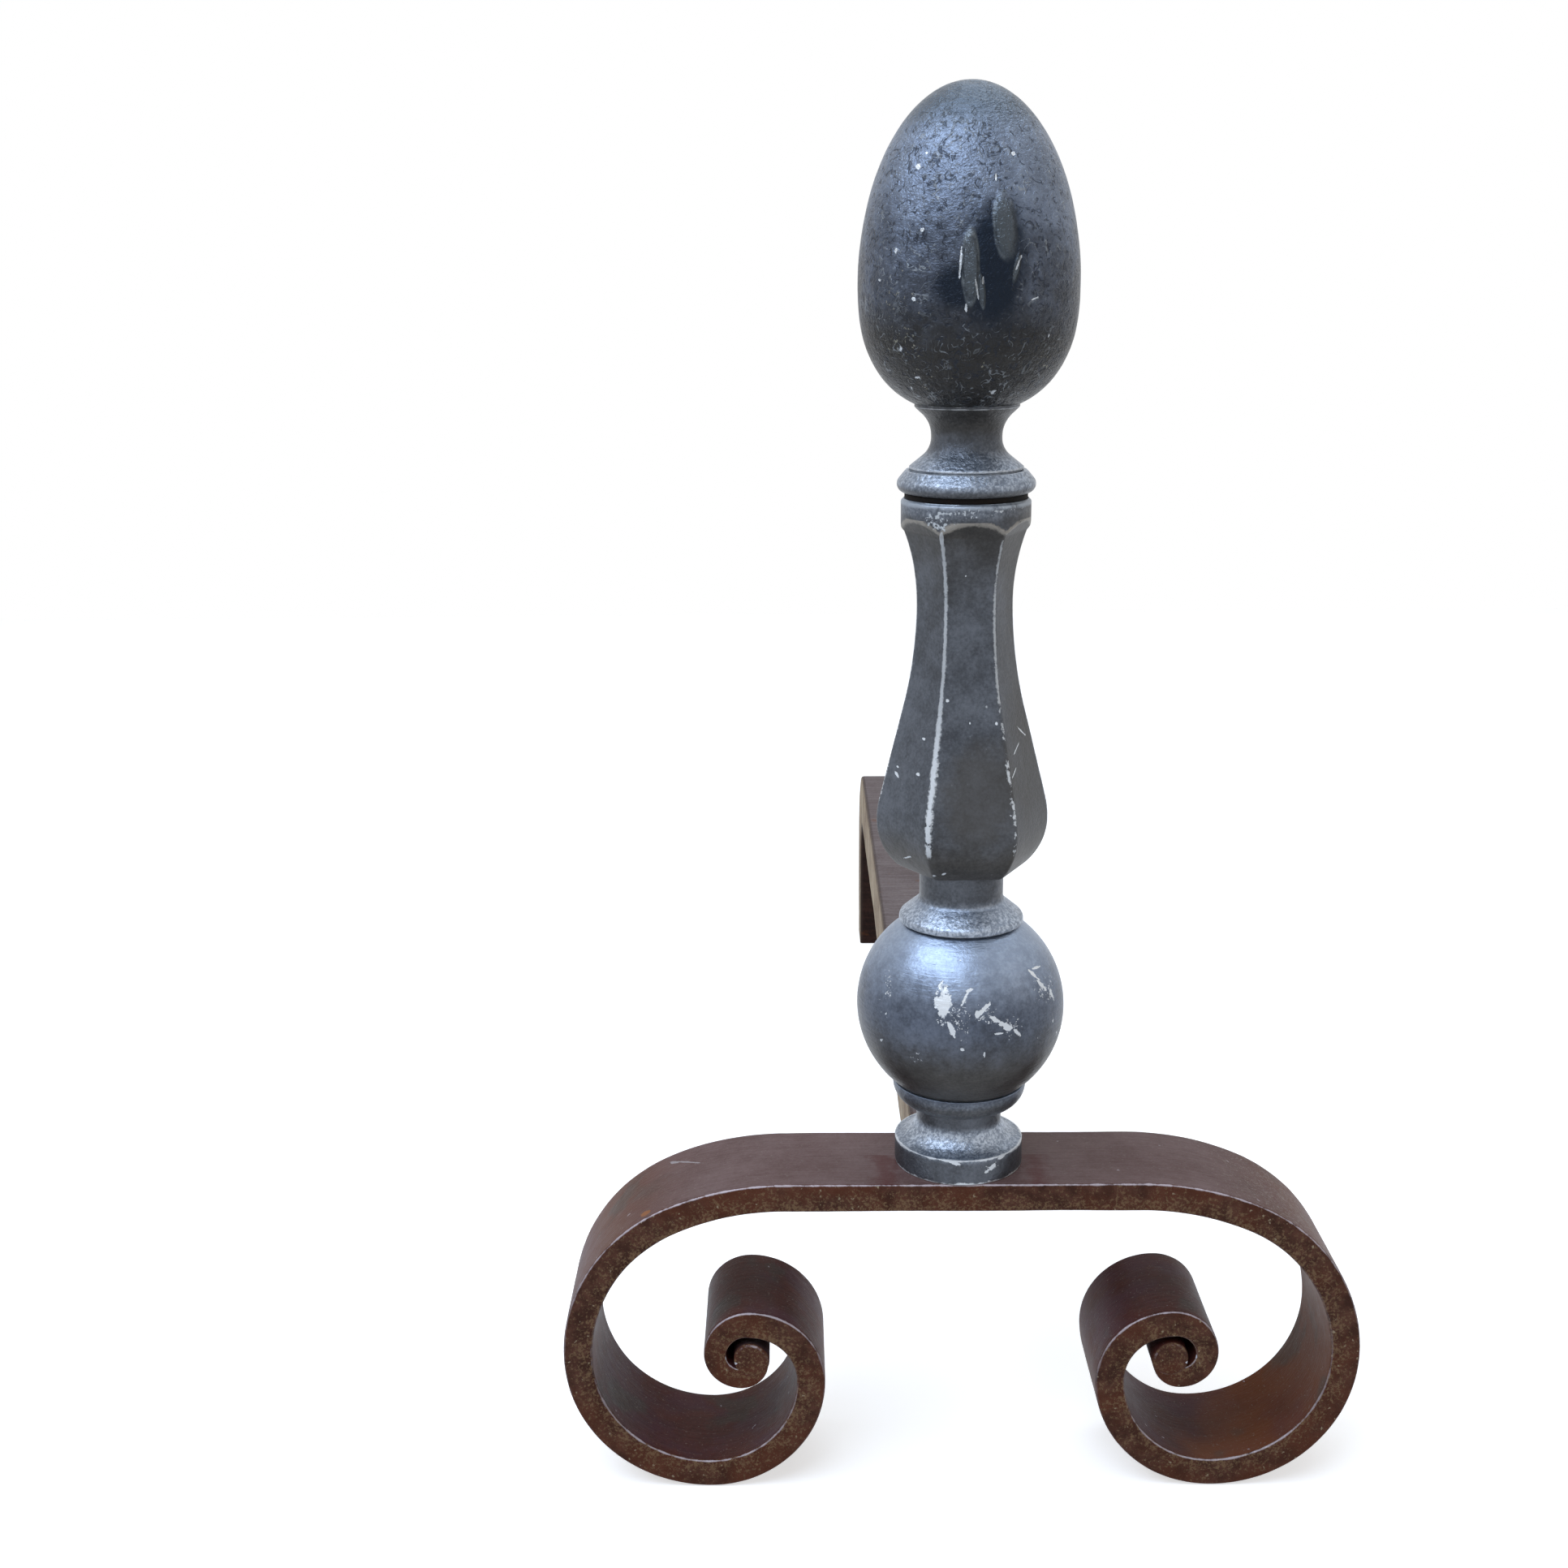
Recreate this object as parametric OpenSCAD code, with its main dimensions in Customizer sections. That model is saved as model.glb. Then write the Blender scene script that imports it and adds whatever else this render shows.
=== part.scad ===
// Andiron: a scrolled foot bar, a square log bar with its rear leg, and a stem
// of stacked castings clamped on one tie rod by the egg-shaped finial.
// Millimetres. +Z is up, the front faces -Y, and the origin is on the floor in
// the middle of the andiron's outline.

/* [Foot bar] */
// Width of the flat bar, front to back
bar_w = 41.3; // [34:0.1:50]
// Thickness of the flat bar
bar_t = 9.5; // [7:0.1:10.5]
// Half length of the straight middle
straight_half = 58.5; // [50:0.5:75]
// Outer radius of the gentle shoulder bend
shoulder_r = 97; // [80:1:120]
// Angle that the shoulder bend turns through
shoulder_angle = 24; // [12:1:36]
// Outer radius where the bar turns down
flank_r = 58.5; // [54:0.5:70]
// Height of the foot bar's top
bar_top = 110.3; // [104:0.1:114]
// Outer radius of the inner rise
riser_r = 39; // [37.5:0.5:42]
// Outer radius over the top of the roll
crown_r = 25.3; // [24.5:0.1:27]
// Outer radius down the roll's outer side
brow_r = 15.3; // [14.8:0.1:17]
// Outer radius under the roll
curl_r = 12.6; // [12.2:0.1:13.2]
// Outer radius of the last turn, which is solid
tip_r = 9; // [8:0.1:9.5]
// Radius of the rolled tip seen in the eye
eye_r = 5.2; // [4.6:0.1:5.6]
// Distance of the rolled tip from the middle of the last roll, sideways
eye_in = 3.4; // [3:0.1:4]
// Distance of the rolled tip below the middle of the last roll
eye_down = 1.9; // [1.2:0.1:2.4]
// Bevel along the worn edges of the flat bar
bar_bevel = 0.9; // [0.3:0.1:1.5]

/* [Log bar] */
// Width of the square bar
log_w = 28.6; // [24:0.1:36]
// Height of the square bar
log_t = 28.6; // [24:0.1:34]
// Distance from the stem's axis to the back of the rear leg
log_reach = 560; // [380:5:640]
// Bevel along the square bar's long edges
log_bevel = 2; // [0.5:0.1:3]
// Outer radius of the rear bend
bend_r = 60; // [44:1:70]
// Thickness of the tongue under the foot bar
tongue_t = 5.2; // [4:0.1:7]
// Distance that the tongue reaches in front of the stem's axis
tongue_front = 10; // [9:0.5:14]
// Length of the slope from the tongue to the full depth
tongue_ramp = 12; // [8:0.5:14]
// Gap between the foot bar's back edge and the log bar's shoulder
shoulder_gap = 0.6; // [0.6:0.05:1.2]

/* [Tie rod] */
// Radius of the rod
rod_r = 4.75; // [4:0.05:5.5]
// Clearance round the rod in every hole
rod_clear = 0.15; // [0.1:0.05:0.3]
// Radius of the peened head under the tongue
peen_r = 8; // [7:0.1:9]
// Height of the peened head
peen_h = 2.4; // [1.6:0.1:3]
// Length of rod screwed into the egg
rod_grip = 24; // [16:1:40]
// Space left above the rod in the egg
rod_end_gap = 3; // [1:0.5:6]

/* [Pedestal] */
// Radius of the round foot, which keeps clear of the log bar's top
pedestal_r = 21.2; // [18:0.1:21.2]
// Height of the whole pedestal
pedestal_h = 20.8; // [19:0.1:26]
// Radius of the neck
pedestal_neck_r = 14; // [12:0.1:14.2]
// Height of the neck's upright part
pedestal_neck_h = 4.5; // [2:0.1:6]
// Radius of the hollow between rim and neck
pedestal_hollow_r = 7.6; // [6.5:0.1:9]

/* [Ball] */
// Radius of the ball
ball_r = 33.9; // [30:0.1:40]
// Height of the ball's middle above the underside of its cup
ball_rise = 35; // [33:0.1:38]
// Height of the whole piece, with the ball cut off flat on top
ball_h = 63.1; // [60:0.1:65]
// Radius of the cup's flat underside
cup_seat_r = 14.3; // [14.2:0.1:16]
// Radius of the cup's rounding
cup_round = 7.6; // [6.5:0.1:8.5]
// Height of the cup's side
cup_h = 8.3; // [7.8:0.1:10]

/* [Neck spool] */
// Height of the dark seam under the skirt
seam_h = 0.7; // [0.4:0.1:1.2]
// Radius of the spool within the seam
seam_r = 18.2; // [16:0.1:18.6]
// Radius of the skirt over the ball
skirt_r = 20.2; // [18.6:0.1:22]
// Height of the skirt's upright edge above the seam
skirt_edge = 0.8; // [0.4:0.1:2]
// Radius of the skirt's rounded shoulder
skirt_round = 2.4; // [1.6:0.1:4]
// Slope of the skirt, in degrees from upright
skirt_slope = 50; // [40:1:55]
// Radius of the spool's neck
spool_neck_r = 13.6; // [12:0.1:14]
// Height of the neck's upright part
spool_neck_h = 9.3; // [7:0.1:10]
// Radius of the hollow under the neck
spool_hollow_r = 3; // [2:0.1:4]
// Height of the whole spool
spool_h = 18.8; // [18:0.1:24]

/* [Baluster] */
// Height of the baluster
baluster_h = 119.7; // [114:0.1:150]
// Corner radius of the six-sided bulb at its widest
bulb_r = 27.9; // [25:0.1:31]
// Radius of the bulb's rounding below the widest place
bulb_low_r = 20; // [19.6:0.1:24]
// Angle over which that rounding runs down
bulb_low_angle = 48; // [42:1:50]
// Radius of the tight rounding into the flat underside
bulb_heel_r = 4; // [3.4:0.1:4.4]
// Radius of the bulb's rounding above the widest place
bulb_high_r = 30; // [22:0.5:36]
// Slope of the side between bulb and hollow, in degrees from upright
side_slope = 15; // [13:0.1:16]
// Corner radius at the waist
waist_r = 15.4; // [13:0.1:16]
// Height of the waist
waist_rise = 86.7; // [84:0.1:88]
// Radius of the long hollow below the waist
hollow_r = 139; // [120:1:150]
// Radius of the hollow above the waist
flare_r = 66; // [60:1:80]
// Radius of the round collar
collar_r = 20.3; // [19.8:0.1:22]
// Height of the round collar above the arches
collar_h = 5.7; // [4:0.1:7]
// Height of the arches in which the six sides end
arch_h = 4.6; // [3:0.1:6]
// Bevel along the collar's top edge
collar_bevel = 0.9; // [0.4:0.1:1.1]

/* [Finial] */
// Radius of the dark washer
washer_r = 19.2; // [17:0.1:19.4]
// Thickness of the dark washer
washer_t = 1.7; // [1:0.1:2.5]
// Radius to the outside of the torus collar
torus_r = 21.6; // [21.4:0.1:24]
// Radius of the torus collar's rounding
torus_round = 2.7; // [2.4:0.1:3]
// Angle at which the rounding runs into the torus collar's sloping shoulder
torus_slope = 40; // [34:1:44]
// Height of the torus collar with its shoulder
torus_h = 7; // [6.4:0.1:7.4]
// Radius of the lip above the torus collar
lip_r = 17.8; // [16.8:0.1:18]
// Height of the lip with the groove under it
lip_h = 1; // [0.6:0.1:1.4]
// Depth of the groove under the lip
groove_t = 0.5; // [0.3:0.1:0.8]
// Radius of the finial's neck
finial_neck_r = 11; // [9.6:0.1:12]
// Height of the neck's narrowest place above the lip
neck_rise = 8.9; // [8:0.1:10]
// Radius of the hollow below the neck's narrowest place
neck_low_r = 7; // [6.4:0.1:7.6]
// Height of the neck's upright part
finial_neck_h = 0.6; // [0.4:0.1:1.2]
// Radius of the hollow above the upright part
neck_high_r = 9.4; // [8.6:0.1:10]
// Slope of the hollows' ends, in degrees from upright
neck_slope = 52; // [46:1:55]
// Height of the cup's rim above the neck's upright part
cup_rim_rise = 9; // [8.4:0.1:11]
// Height of the cup's rim
cup_rim_h = 1; // [0.6:0.1:1.6]
// Radius of the cup's rim
cup_rim_r = 16.3; // [15.4:0.1:18]
// Largest radius of the egg
egg_r = 33.8; // [30:0.1:38]
// Height of the egg above its widest place
egg_up = 60.3; // [52:0.1:70]
// Height of the full lower end of the egg below its widest place
egg_down = 38.4; // [36:0.1:42]
// Part of the lower end that is cut off flat where it sits in the cup
egg_cut = 3.1; // [2.4:0.1:4]
// Fullness of the egg's lower end, where 2 is an ellipse
egg_fullness = 2.4; // [2:0.1:3]

/* [Hidden] */
$fn = 64;

// Angle step of sampled outlines
fine = 6;
// Length by which a cutting solid runs past the solid that it cuts
past = 1;

// Outer radius of the foot, which brings the scroll down to the floor
heel_r = bar_top - shoulder_r * (1 - cos(shoulder_angle)) - flank_r * cos(shoulder_angle);

// The scroll as turning arcs: outer radius and angle of each
scroll_arcs = [
    [shoulder_r, shoulder_angle],
    [flank_r, 90 - shoulder_angle],
    [heel_r, 90],
    [riser_r, 90],
    [crown_r, 90],
    [brow_r, 90],
    [curl_r, 90]
];
bar_under = bar_top - bar_t;
tongue_under = bar_under - tongue_t;

// Heights of the stack's joints
ball_z = bar_top + pedestal_h;
spool_z = ball_z + ball_h;
baluster_z = spool_z + spool_h;
washer_z = baluster_z + baluster_h;
finial_z = washer_z + washer_t;
neck_z = torus_h + lip_h + neck_rise;
finial_cup_h = neck_z + finial_neck_h + cup_rim_rise + cup_rim_h;
egg_z = finial_z + finial_cup_h;
egg_base = egg_down - egg_cut;
rod_hole_r = rod_r + rod_clear;

// The stem's place in front of the middle of the whole outline
front_reach = max(ball_r, egg_r, bar_w / 2);
stem_y = (front_reach - log_reach) / 2;

// Points of an arc about (x, z), from angle a to angle b
function arc(x, z, r, a, b) =
    let (n = max(2, ceil(abs(b - a) / fine)))
    [for (i = [0:n]) [x + r * cos(a + (b - a) * i / n), z + r * sin(a + (b - a) * i / n)]];

// Outward direction of the bar's outer face after turning by h degrees
function outward(h) = [sin(h), cos(h)];

// Middle of an arc that starts at point p with heading h
function arc_middle(p, r, h) = p - r * outward(h);

// Moves to (x, z) in a coarse and a fine step, which keeps the last decimals
module at(x, z) {
    coarse = [round(x), 0, round(z)];
    translate(coarse) translate([x, 0, z] - coarse) children();
}

// Cross-section of a bar with its outer face at x = 0
module bar_section(w, t, e) {
    polygon([
        [e - t, -w / 2], [-e, -w / 2], [0, e - w / 2], [0, w / 2 - e],
        [-e, w / 2], [e - t, w / 2], [-t, w / 2 - e], [-t, e - w / 2]
    ]);
}

// Hole for the tie rod through a piece of height h
module rod_hole(h) {
    translate([0, 0, -past]) cylinder(r = rod_hole_r, h = h + 2 * past);
}

// One bend of the scroll and all that follow it, from point p with heading h
module scroll(i, p, h) {
    r = scroll_arcs[i][0];
    a = scroll_arcs[i][1];
    c = arc_middle(p, r, h);
    at(c.x, c.y)
        rotate([90, 0, 0])
            rotate_extrude(angle = a, start = 90 - h - a)
                at(r, 0) bar_section(bar_w, bar_t, bar_bevel);
    end = c + r * outward(h + a);
    if (i + 1 < len(scroll_arcs)) scroll(i + 1, end, h + a);
    else scroll_tip(end, c);
}

// The solid last turn, and the rolled tip that shows in the eye
module scroll_tip(p, roll_middle) {
    at(p.x, p.y + tip_r)
        rotate([90, 0, 0])
            rotate_extrude(angle = 90, start = 180)
                translate([0, -bar_w / 2]) square([tip_r, bar_w]);
    at(roll_middle.x - eye_in, roll_middle.y - eye_down)
        rotate([90, 0, 0]) cylinder(r = eye_r, h = bar_w, center = true);
}

module foot_bar() {
    color([0.30, 0.19, 0.16])
    translate([0, stem_y, 0])
    difference() {
        union() {
            translate([0, 0, bar_top])
                rotate([0, -90, 0])
                    linear_extrude(2 * straight_half, center = true) bar_section(bar_w, bar_t, bar_bevel);
            for (side = [0, 1])
                mirror([side, 0, 0]) scroll(0, [straight_half, bar_top], 0);
        }
        translate([0, 0, bar_under]) rod_hole(bar_t);
    }
}

module log_bar() {
    // Where the square bar starts, behind the foot bar
    run_y = bar_w / 2 + shoulder_gap;
    bend_y = log_reach - bend_r;
    leg_h = bar_top - bend_r;
    log_under = bar_top - log_t;
    color([0.38, 0.33, 0.31])
    translate([0, stem_y, 0])
    difference() {
        union() {
            translate([0, run_y, bar_top])
                rotate([90, -90, 180])
                    linear_extrude(bend_y - run_y) bar_section(log_w, log_t, log_bevel);
            translate([0, bend_y, bar_top - bend_r])
                rotate([0, -90, 0])
                    rotate([180, 0, 90])
                        rotate_extrude(angle = 90)
                            translate([bend_r, 0]) bar_section(log_w, log_t, log_bevel);
            translate([0, log_reach, 0])
                rotate([0, 0, 90])
                    linear_extrude(leg_h) bar_section(log_w, log_t, log_bevel);
            translate([-log_w / 2, 0, 0])
                rotate([90, 0, 90])
                    linear_extrude(log_w)
                        polygon([
                            [-tongue_front, bar_under], [-tongue_front, tongue_under],
                            [run_y - tongue_ramp, tongue_under], [run_y, log_under],
                            [run_y + past, log_under], [run_y + past, bar_under]
                        ]);
        }
        translate([0, 0, tongue_under]) rod_hole(tongue_t);
    }
}

module pedestal() {
    hollow_z = pedestal_h - pedestal_neck_h;
    color([0.33, 0.37, 0.42])
    translate([0, stem_y, bar_top])
        difference() {
            rotate_extrude()
                difference() {
                    square([pedestal_r, pedestal_h]);
                    translate([pedestal_neck_r + pedestal_hollow_r, hollow_z])
                        circle(r = pedestal_hollow_r);
                    translate([pedestal_neck_r, hollow_z])
                        square([pedestal_r, pedestal_h]);
                }
            rod_hole(pedestal_h);
        }
}

module ball() {
    color([0.36, 0.40, 0.46])
    translate([0, stem_y, ball_z])
        difference() {
            union() {
                intersection() {
                    translate([0, 0, ball_rise]) sphere(r = ball_r);
                    cylinder(r = ball_r + past, h = ball_h);
                }
                rotate_extrude() {
                    square([cup_seat_r, cup_h]);
                    translate([cup_seat_r, cup_round]) circle(r = cup_round);
                    translate([0, cup_round]) square([cup_seat_r + cup_round, cup_h - cup_round]);
                }
            }
            rod_hole(ball_h);
        }
}

module neck_spool() {
    hollow_z = spool_h - spool_neck_h;
    color([0.36, 0.40, 0.46])
    translate([0, stem_y, spool_z])
        difference() {
            rotate_extrude()
                polygon(concat(
                    [[0, 0], [seam_r, 0], [seam_r, seam_h], [skirt_r, seam_h]],
                    arc(skirt_r - skirt_round, seam_h + skirt_edge, skirt_round, 0, skirt_slope),
                    arc(spool_neck_r + spool_hollow_r, hollow_z, spool_hollow_r, 180 + skirt_slope, 180),
                    [[spool_neck_r, spool_h], [0, spool_h]]
                ));
            rod_hole(spool_h);
        }
}

// Corner outline of the six-sided vase: bulb, sloping side and the two hollows of the waist
bulb_rise = bulb_heel_r + (bulb_low_r - bulb_heel_r) * sin(bulb_low_angle);
low_middle = bulb_r - bulb_low_r;
heel_middle = low_middle + (bulb_low_r - bulb_heel_r) * cos(bulb_low_angle);
arch_z = baluster_h - collar_h - arch_h;
flare_angle = asin((arch_z - waist_rise) / flare_r);
corner_outline = concat(
    arc(heel_middle, bulb_heel_r, bulb_heel_r, -90, -bulb_low_angle),
    arc(low_middle, bulb_rise, bulb_low_r, fine / 2 - bulb_low_angle, 0),
    arc(bulb_r - bulb_high_r, bulb_rise, bulb_high_r, fine / 2, side_slope),
    arc(waist_r + hollow_r, waist_rise, hollow_r, 180 + side_slope, 180),
    arc(waist_r + flare_r, waist_rise, flare_r, 180 - fine / 2, 180 - flare_angle)
);
// The same outline drawn in to the middle of a flat, which opens into the arches under the collar
arch_foot = (waist_r + flare_r * (1 - cos(flare_angle))) * cos(30);
arch_run = collar_r + past - arch_foot;
flat_outline = concat(
    [for (p = corner_outline) [p.x * cos(30), p.y]],
    [[collar_r + past, arch_z + arch_h * arch_run / (collar_r - arch_foot)], [collar_r + past, baluster_h + past]]
);

// A flat-sided slab as thick as the outline says, one of the three that cross
module slab(outline) {
    reach = 2 * bulb_r;
    rotate([90, 0, 0])
        linear_extrude(2 * reach, center = true)
            polygon(concat(outline, [for (i = [len(outline) - 1:-1:0]) [-outline[i].x, outline[i].y]]));
}

module baluster() {
    color([0.33, 0.37, 0.42])
    translate([0, stem_y, baluster_z])
        difference() {
            intersection() {
                rotate_extrude()
                    polygon([
                        [0, 0], [bulb_r + past, 0], [bulb_r + past, arch_z - past],
                        [collar_r, arch_z - past], [collar_r, baluster_h - collar_bevel],
                        [collar_r - collar_bevel, baluster_h], [0, baluster_h]
                    ]);
                rotate([0, 0, -30]) slab(flat_outline);
                rotate([0, 0, 30]) slab(flat_outline);
                rotate([0, 0, 90]) slab(flat_outline);
            }
            rod_hole(baluster_h);
        }
}

module spacer_washer() {
    color([0.08, 0.08, 0.08])
    translate([0, stem_y, washer_z])
        difference() {
            cylinder(r = washer_r, h = washer_t);
            rod_hole(washer_t);
        }
}

module finial_cup() {
    torus_middle = torus_r - torus_round;
    shoulder_rise = torus_h - torus_round * (1 + sin(torus_slope));
    color([0.40, 0.43, 0.47])
    translate([0, stem_y, finial_z])
        difference() {
            rotate_extrude()
                polygon(concat(
                    [[0, 0]],
                    arc(torus_middle, torus_round, torus_round, -90, torus_slope),
                    [
                        [torus_middle + torus_round * cos(torus_slope) - shoulder_rise * tan(torus_slope), torus_h],
                        [lip_r - groove_t, torus_h], [lip_r, torus_h + lip_h / 2], [lip_r, torus_h + lip_h]
                    ],
                    arc(finial_neck_r + neck_low_r, neck_z, neck_low_r, 180 + neck_slope, 180),
                    arc(finial_neck_r + neck_high_r, neck_z + finial_neck_h, neck_high_r, 180, 180 - neck_slope),
                    [[cup_rim_r, finial_cup_h - cup_rim_h], [cup_rim_r, finial_cup_h], [0, finial_cup_h]]
                ));
            rod_hole(finial_cup_h);
        }
}

// Radius of the egg's lower end at a depth d below its widest place
function egg_low_r(d) =
    egg_r * pow(1 - pow(d / egg_down, egg_fullness), 1 / egg_fullness);

module finial_egg() {
    low_step = egg_base / 14;
    color([0.36, 0.40, 0.46])
    translate([0, stem_y, egg_z])
        difference() {
            rotate_extrude()
                polygon(concat(
                    [[0, 0]],
                    [for (d = [egg_base:-low_step:low_step / 2]) [egg_low_r(d), egg_base - d]],
                    [for (a = [0:fine:84]) [egg_r * cos(a), egg_base + egg_up * sin(a)]],
                    [[0, egg_base + egg_up]]
                ));
            translate([0, 0, -past])
                cylinder(r = rod_hole_r, h = rod_grip + rod_end_gap + past);
        }
}

module tie_rod() {
    peen_round = (peen_r * peen_r + peen_h * peen_h) / (2 * peen_h);
    color([0.25, 0.22, 0.20])
    translate([0, stem_y, tongue_under]) {
        cylinder(r = rod_r, h = egg_z + rod_grip - tongue_under);
        translate([0, 0, -peen_h])
            intersection() {
                translate([0, 0, peen_round]) sphere(r = peen_round, $fn = 96);
                cylinder(r = peen_round, h = peen_h);
            }
    }
}

foot_bar();
log_bar();
pedestal();
ball();
neck_spool();
baluster();
spacer_washer();
finial_cup();
finial_egg();
tie_rod();
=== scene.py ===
# %% [markdown]
# # An andiron, dressed in Blender
#
# An andiron, or firedog, holds logs off a hearth. This one has a flat iron bar rolled into
# two scroll feet, a square log bar that bends down into a rear leg, and a stem of painted
# iron castings stacked on one rod under an egg-shaped finial.
#
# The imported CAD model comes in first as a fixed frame. Every piece below is a finer mesh of
# one CAD part, at the same place, with the rounded edges, dents and worn paint of the real one.

# %% Load the frame
import math
import bmesh
import bpy
from mathutils import Matrix, Vector


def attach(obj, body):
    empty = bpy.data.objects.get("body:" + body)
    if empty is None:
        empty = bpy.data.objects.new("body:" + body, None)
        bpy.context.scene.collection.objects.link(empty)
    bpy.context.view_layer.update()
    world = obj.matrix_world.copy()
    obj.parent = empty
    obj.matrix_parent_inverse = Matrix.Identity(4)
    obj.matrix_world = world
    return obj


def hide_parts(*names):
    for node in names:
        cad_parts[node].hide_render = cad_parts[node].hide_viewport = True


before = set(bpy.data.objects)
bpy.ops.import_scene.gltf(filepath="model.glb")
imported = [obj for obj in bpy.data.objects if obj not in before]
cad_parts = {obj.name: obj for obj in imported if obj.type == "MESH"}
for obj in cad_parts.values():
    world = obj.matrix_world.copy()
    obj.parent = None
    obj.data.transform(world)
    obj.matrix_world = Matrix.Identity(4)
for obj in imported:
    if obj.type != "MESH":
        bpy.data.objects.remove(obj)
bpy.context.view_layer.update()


print("CAD nodes:", sorted(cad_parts))

# %% [markdown]
# ## Sizes
#
# The frame's sizes come back here in millimetres, because a drawing of a turned profile is
# easier to read that way. One constant turns them into Blender's metres.

# %% Shared sizes
MM = 0.001
BAR_TOP, BAR_THICK, BAR_WIDTH = 110.3, 9.5, 41.3
STEM_Y = -263.05
HOLE = 4.9

# Height of the underside of each piece of the stem. The rod starts under the log bar's tongue.
STACK = {"tie_rod": BAR_TOP - BAR_THICK - 5.2}
underside = BAR_TOP
for node, height in (("pedestal", 20.8), ("ball", 63.1), ("neck_spool", 18.8), ("baluster", 119.7),
                     ("spacer_washer", 1.7), ("finial_cup", 27.5), ("finial_egg", 95.6)):
    STACK[node] = underside
    underside += height
print("undersides in mm:", {node: round(z, 1) for node, z in STACK.items()})

# %% [markdown]
# ## Node trees as sums
#
# Both the shapes and the finishes are node trees. Wiring Math nodes by hand hides the idea,
# so a small class wraps a socket and lets us write `1 - mask * 0.5`. Each operator adds one
# Math node. Any other node comes from one method, which takes the values or wires of the
# node's sockets and then its settings.


# %% A wire and a bench to build on
def operator(name, swapped=False):
    """A method that joins a wire and another value with one Math node."""
    def method(self, other):
        return self.bench.math(name, *((other, self) if swapped else (self, other)))
    return method


class Wire:
    """One output socket that can be used in sums."""

    def __init__(self, bench, socket):
        self.bench, self.socket = bench, socket

    def also(self, name):
        """Another output of the same node."""
        return Wire(self.bench, self.socket.node.outputs[name])

    __add__, __radd__ = operator("ADD"), operator("ADD", swapped=True)
    __sub__, __rsub__ = operator("SUBTRACT"), operator("SUBTRACT", swapped=True)
    __mul__ = operator("MULTIPLY")
    __truediv__, __rtruediv__ = operator("DIVIDE"), operator("DIVIDE", swapped=True)
    __gt__, __lt__ = operator("GREATER_THAN"), operator("LESS_THAN")

    def __neg__(self):
        return self.bench.math("MULTIPLY", self, -1.0)

    def __abs__(self):
        return self.bench.math("ABSOLUTE", self)


class Bench:
    """A node tree, with methods that add a node."""

    def __init__(self, tree):
        self.tree = tree

    def node(self, kind, inputs=None, out=None, **settings):
        made = self.tree.nodes.new(kind)
        for name, value in settings.items():
            setattr(made, name, value)
        for key, value in (inputs or {}).items():
            self.join(self.find(made.inputs, key), value)
        outs = [s for s in made.outputs if s.enabled]
        if outs:
            return Wire(self, self.find(made.outputs, out) if out else outs[0])

    @staticmethod
    def find(sockets, key):
        if isinstance(key, int):
            return sockets[key]
        return next(s for s in sockets if s.name == key and s.enabled)

    def join(self, socket, value):
        if isinstance(value, Wire):
            self.tree.links.new(value.socket, socket)
        elif socket.type == "RGBA" and len(value) == 3:
            socket.default_value = (*value, 1.0)
        else:
            socket.default_value = value

    def geo(self, kind, *inputs, **settings):
        return self.node("GeometryNode" + kind, *inputs, **settings)

    def shade(self, kind, *inputs, **settings):
        return self.node("ShaderNode" + kind, *inputs, **settings)

    def math(self, operation, *values):
        return self.shade("Math", dict(enumerate(values)), operation=operation)

    def vector(self, operation, *values):
        return self.shade("VectorMath", dict(enumerate(values)), operation=operation)

    def scaled(self, vector, by):
        return self.shade("VectorMath", {0: vector, "Scale": by}, operation="SCALE")


def empty_bench(owner):
    """The bench of a material or world, with nothing on it."""
    owner.use_nodes = True
    owner.node_tree.nodes.clear()
    return Bench(owner.node_tree)


# %% Common sums
def split(vector):
    """The three parts of a vector."""
    first = vector.bench.shade("SeparateXYZ", {0: vector}, out="X")
    return first, first.also("Y"), first.also("Z")


def most(first, *others, operation="MAXIMUM"):
    """The highest of several values."""
    for other in others:
        first = first.bench.math(operation, first, other)
    return first


def least(*values):
    return most(*values, operation="MINIMUM")


def step(value, low, high):
    """0 below low, 1 above high, and a smooth rise between."""
    return value.bench.shade("MapRange", {"Value": value, "From Min": low, "From Max": high},
                            interpolation_type="SMOOTHSTEP")


def noise(where, size, detail=2.0, rough=0.5, seed=0.0, stretch=None, **more):
    """Cloudy values round 0.5, with clouds about size metres across."""
    if stretch:
        where = where.bench.vector("MULTIPLY", where, stretch)
    inputs = {"Vector": where, "W": seed, "Scale": 1.0 / size, "Detail": detail, "Roughness": rough, **more}
    return where.bench.shade("TexNoise", inputs, noise_dimensions="4D")


print("the bench is ready")

# %% [markdown]
# ## Drawing a profile
#
# A turned or swept piece is a drawn line carried round an axis or along a path. `soften`
# takes the corners of that line. It rounds each corner that has a radius and fills long
# stretches with points, so that the surface can take dents. It also measures how far each
# point is from the nearest rounded corner, because paint wears off there first. That
# distance is stored on the points as `edge_gap`, in metres.


# %% Lines with softened corners
def cosd(degrees):
    return math.cos(math.radians(degrees))


def sind(degrees):
    return math.sin(math.radians(degrees))


def arc(x, y, r, start, end, every=4.0):
    """Corners along an arc, with angles in degrees."""
    count = max(2, math.ceil(abs(end - start) / every))
    angles = [start + (end - start) * i / count for i in range(count + 1)]
    return [(x + r * cosd(a), y + r * sind(a), 0.0) for a in angles]


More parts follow.
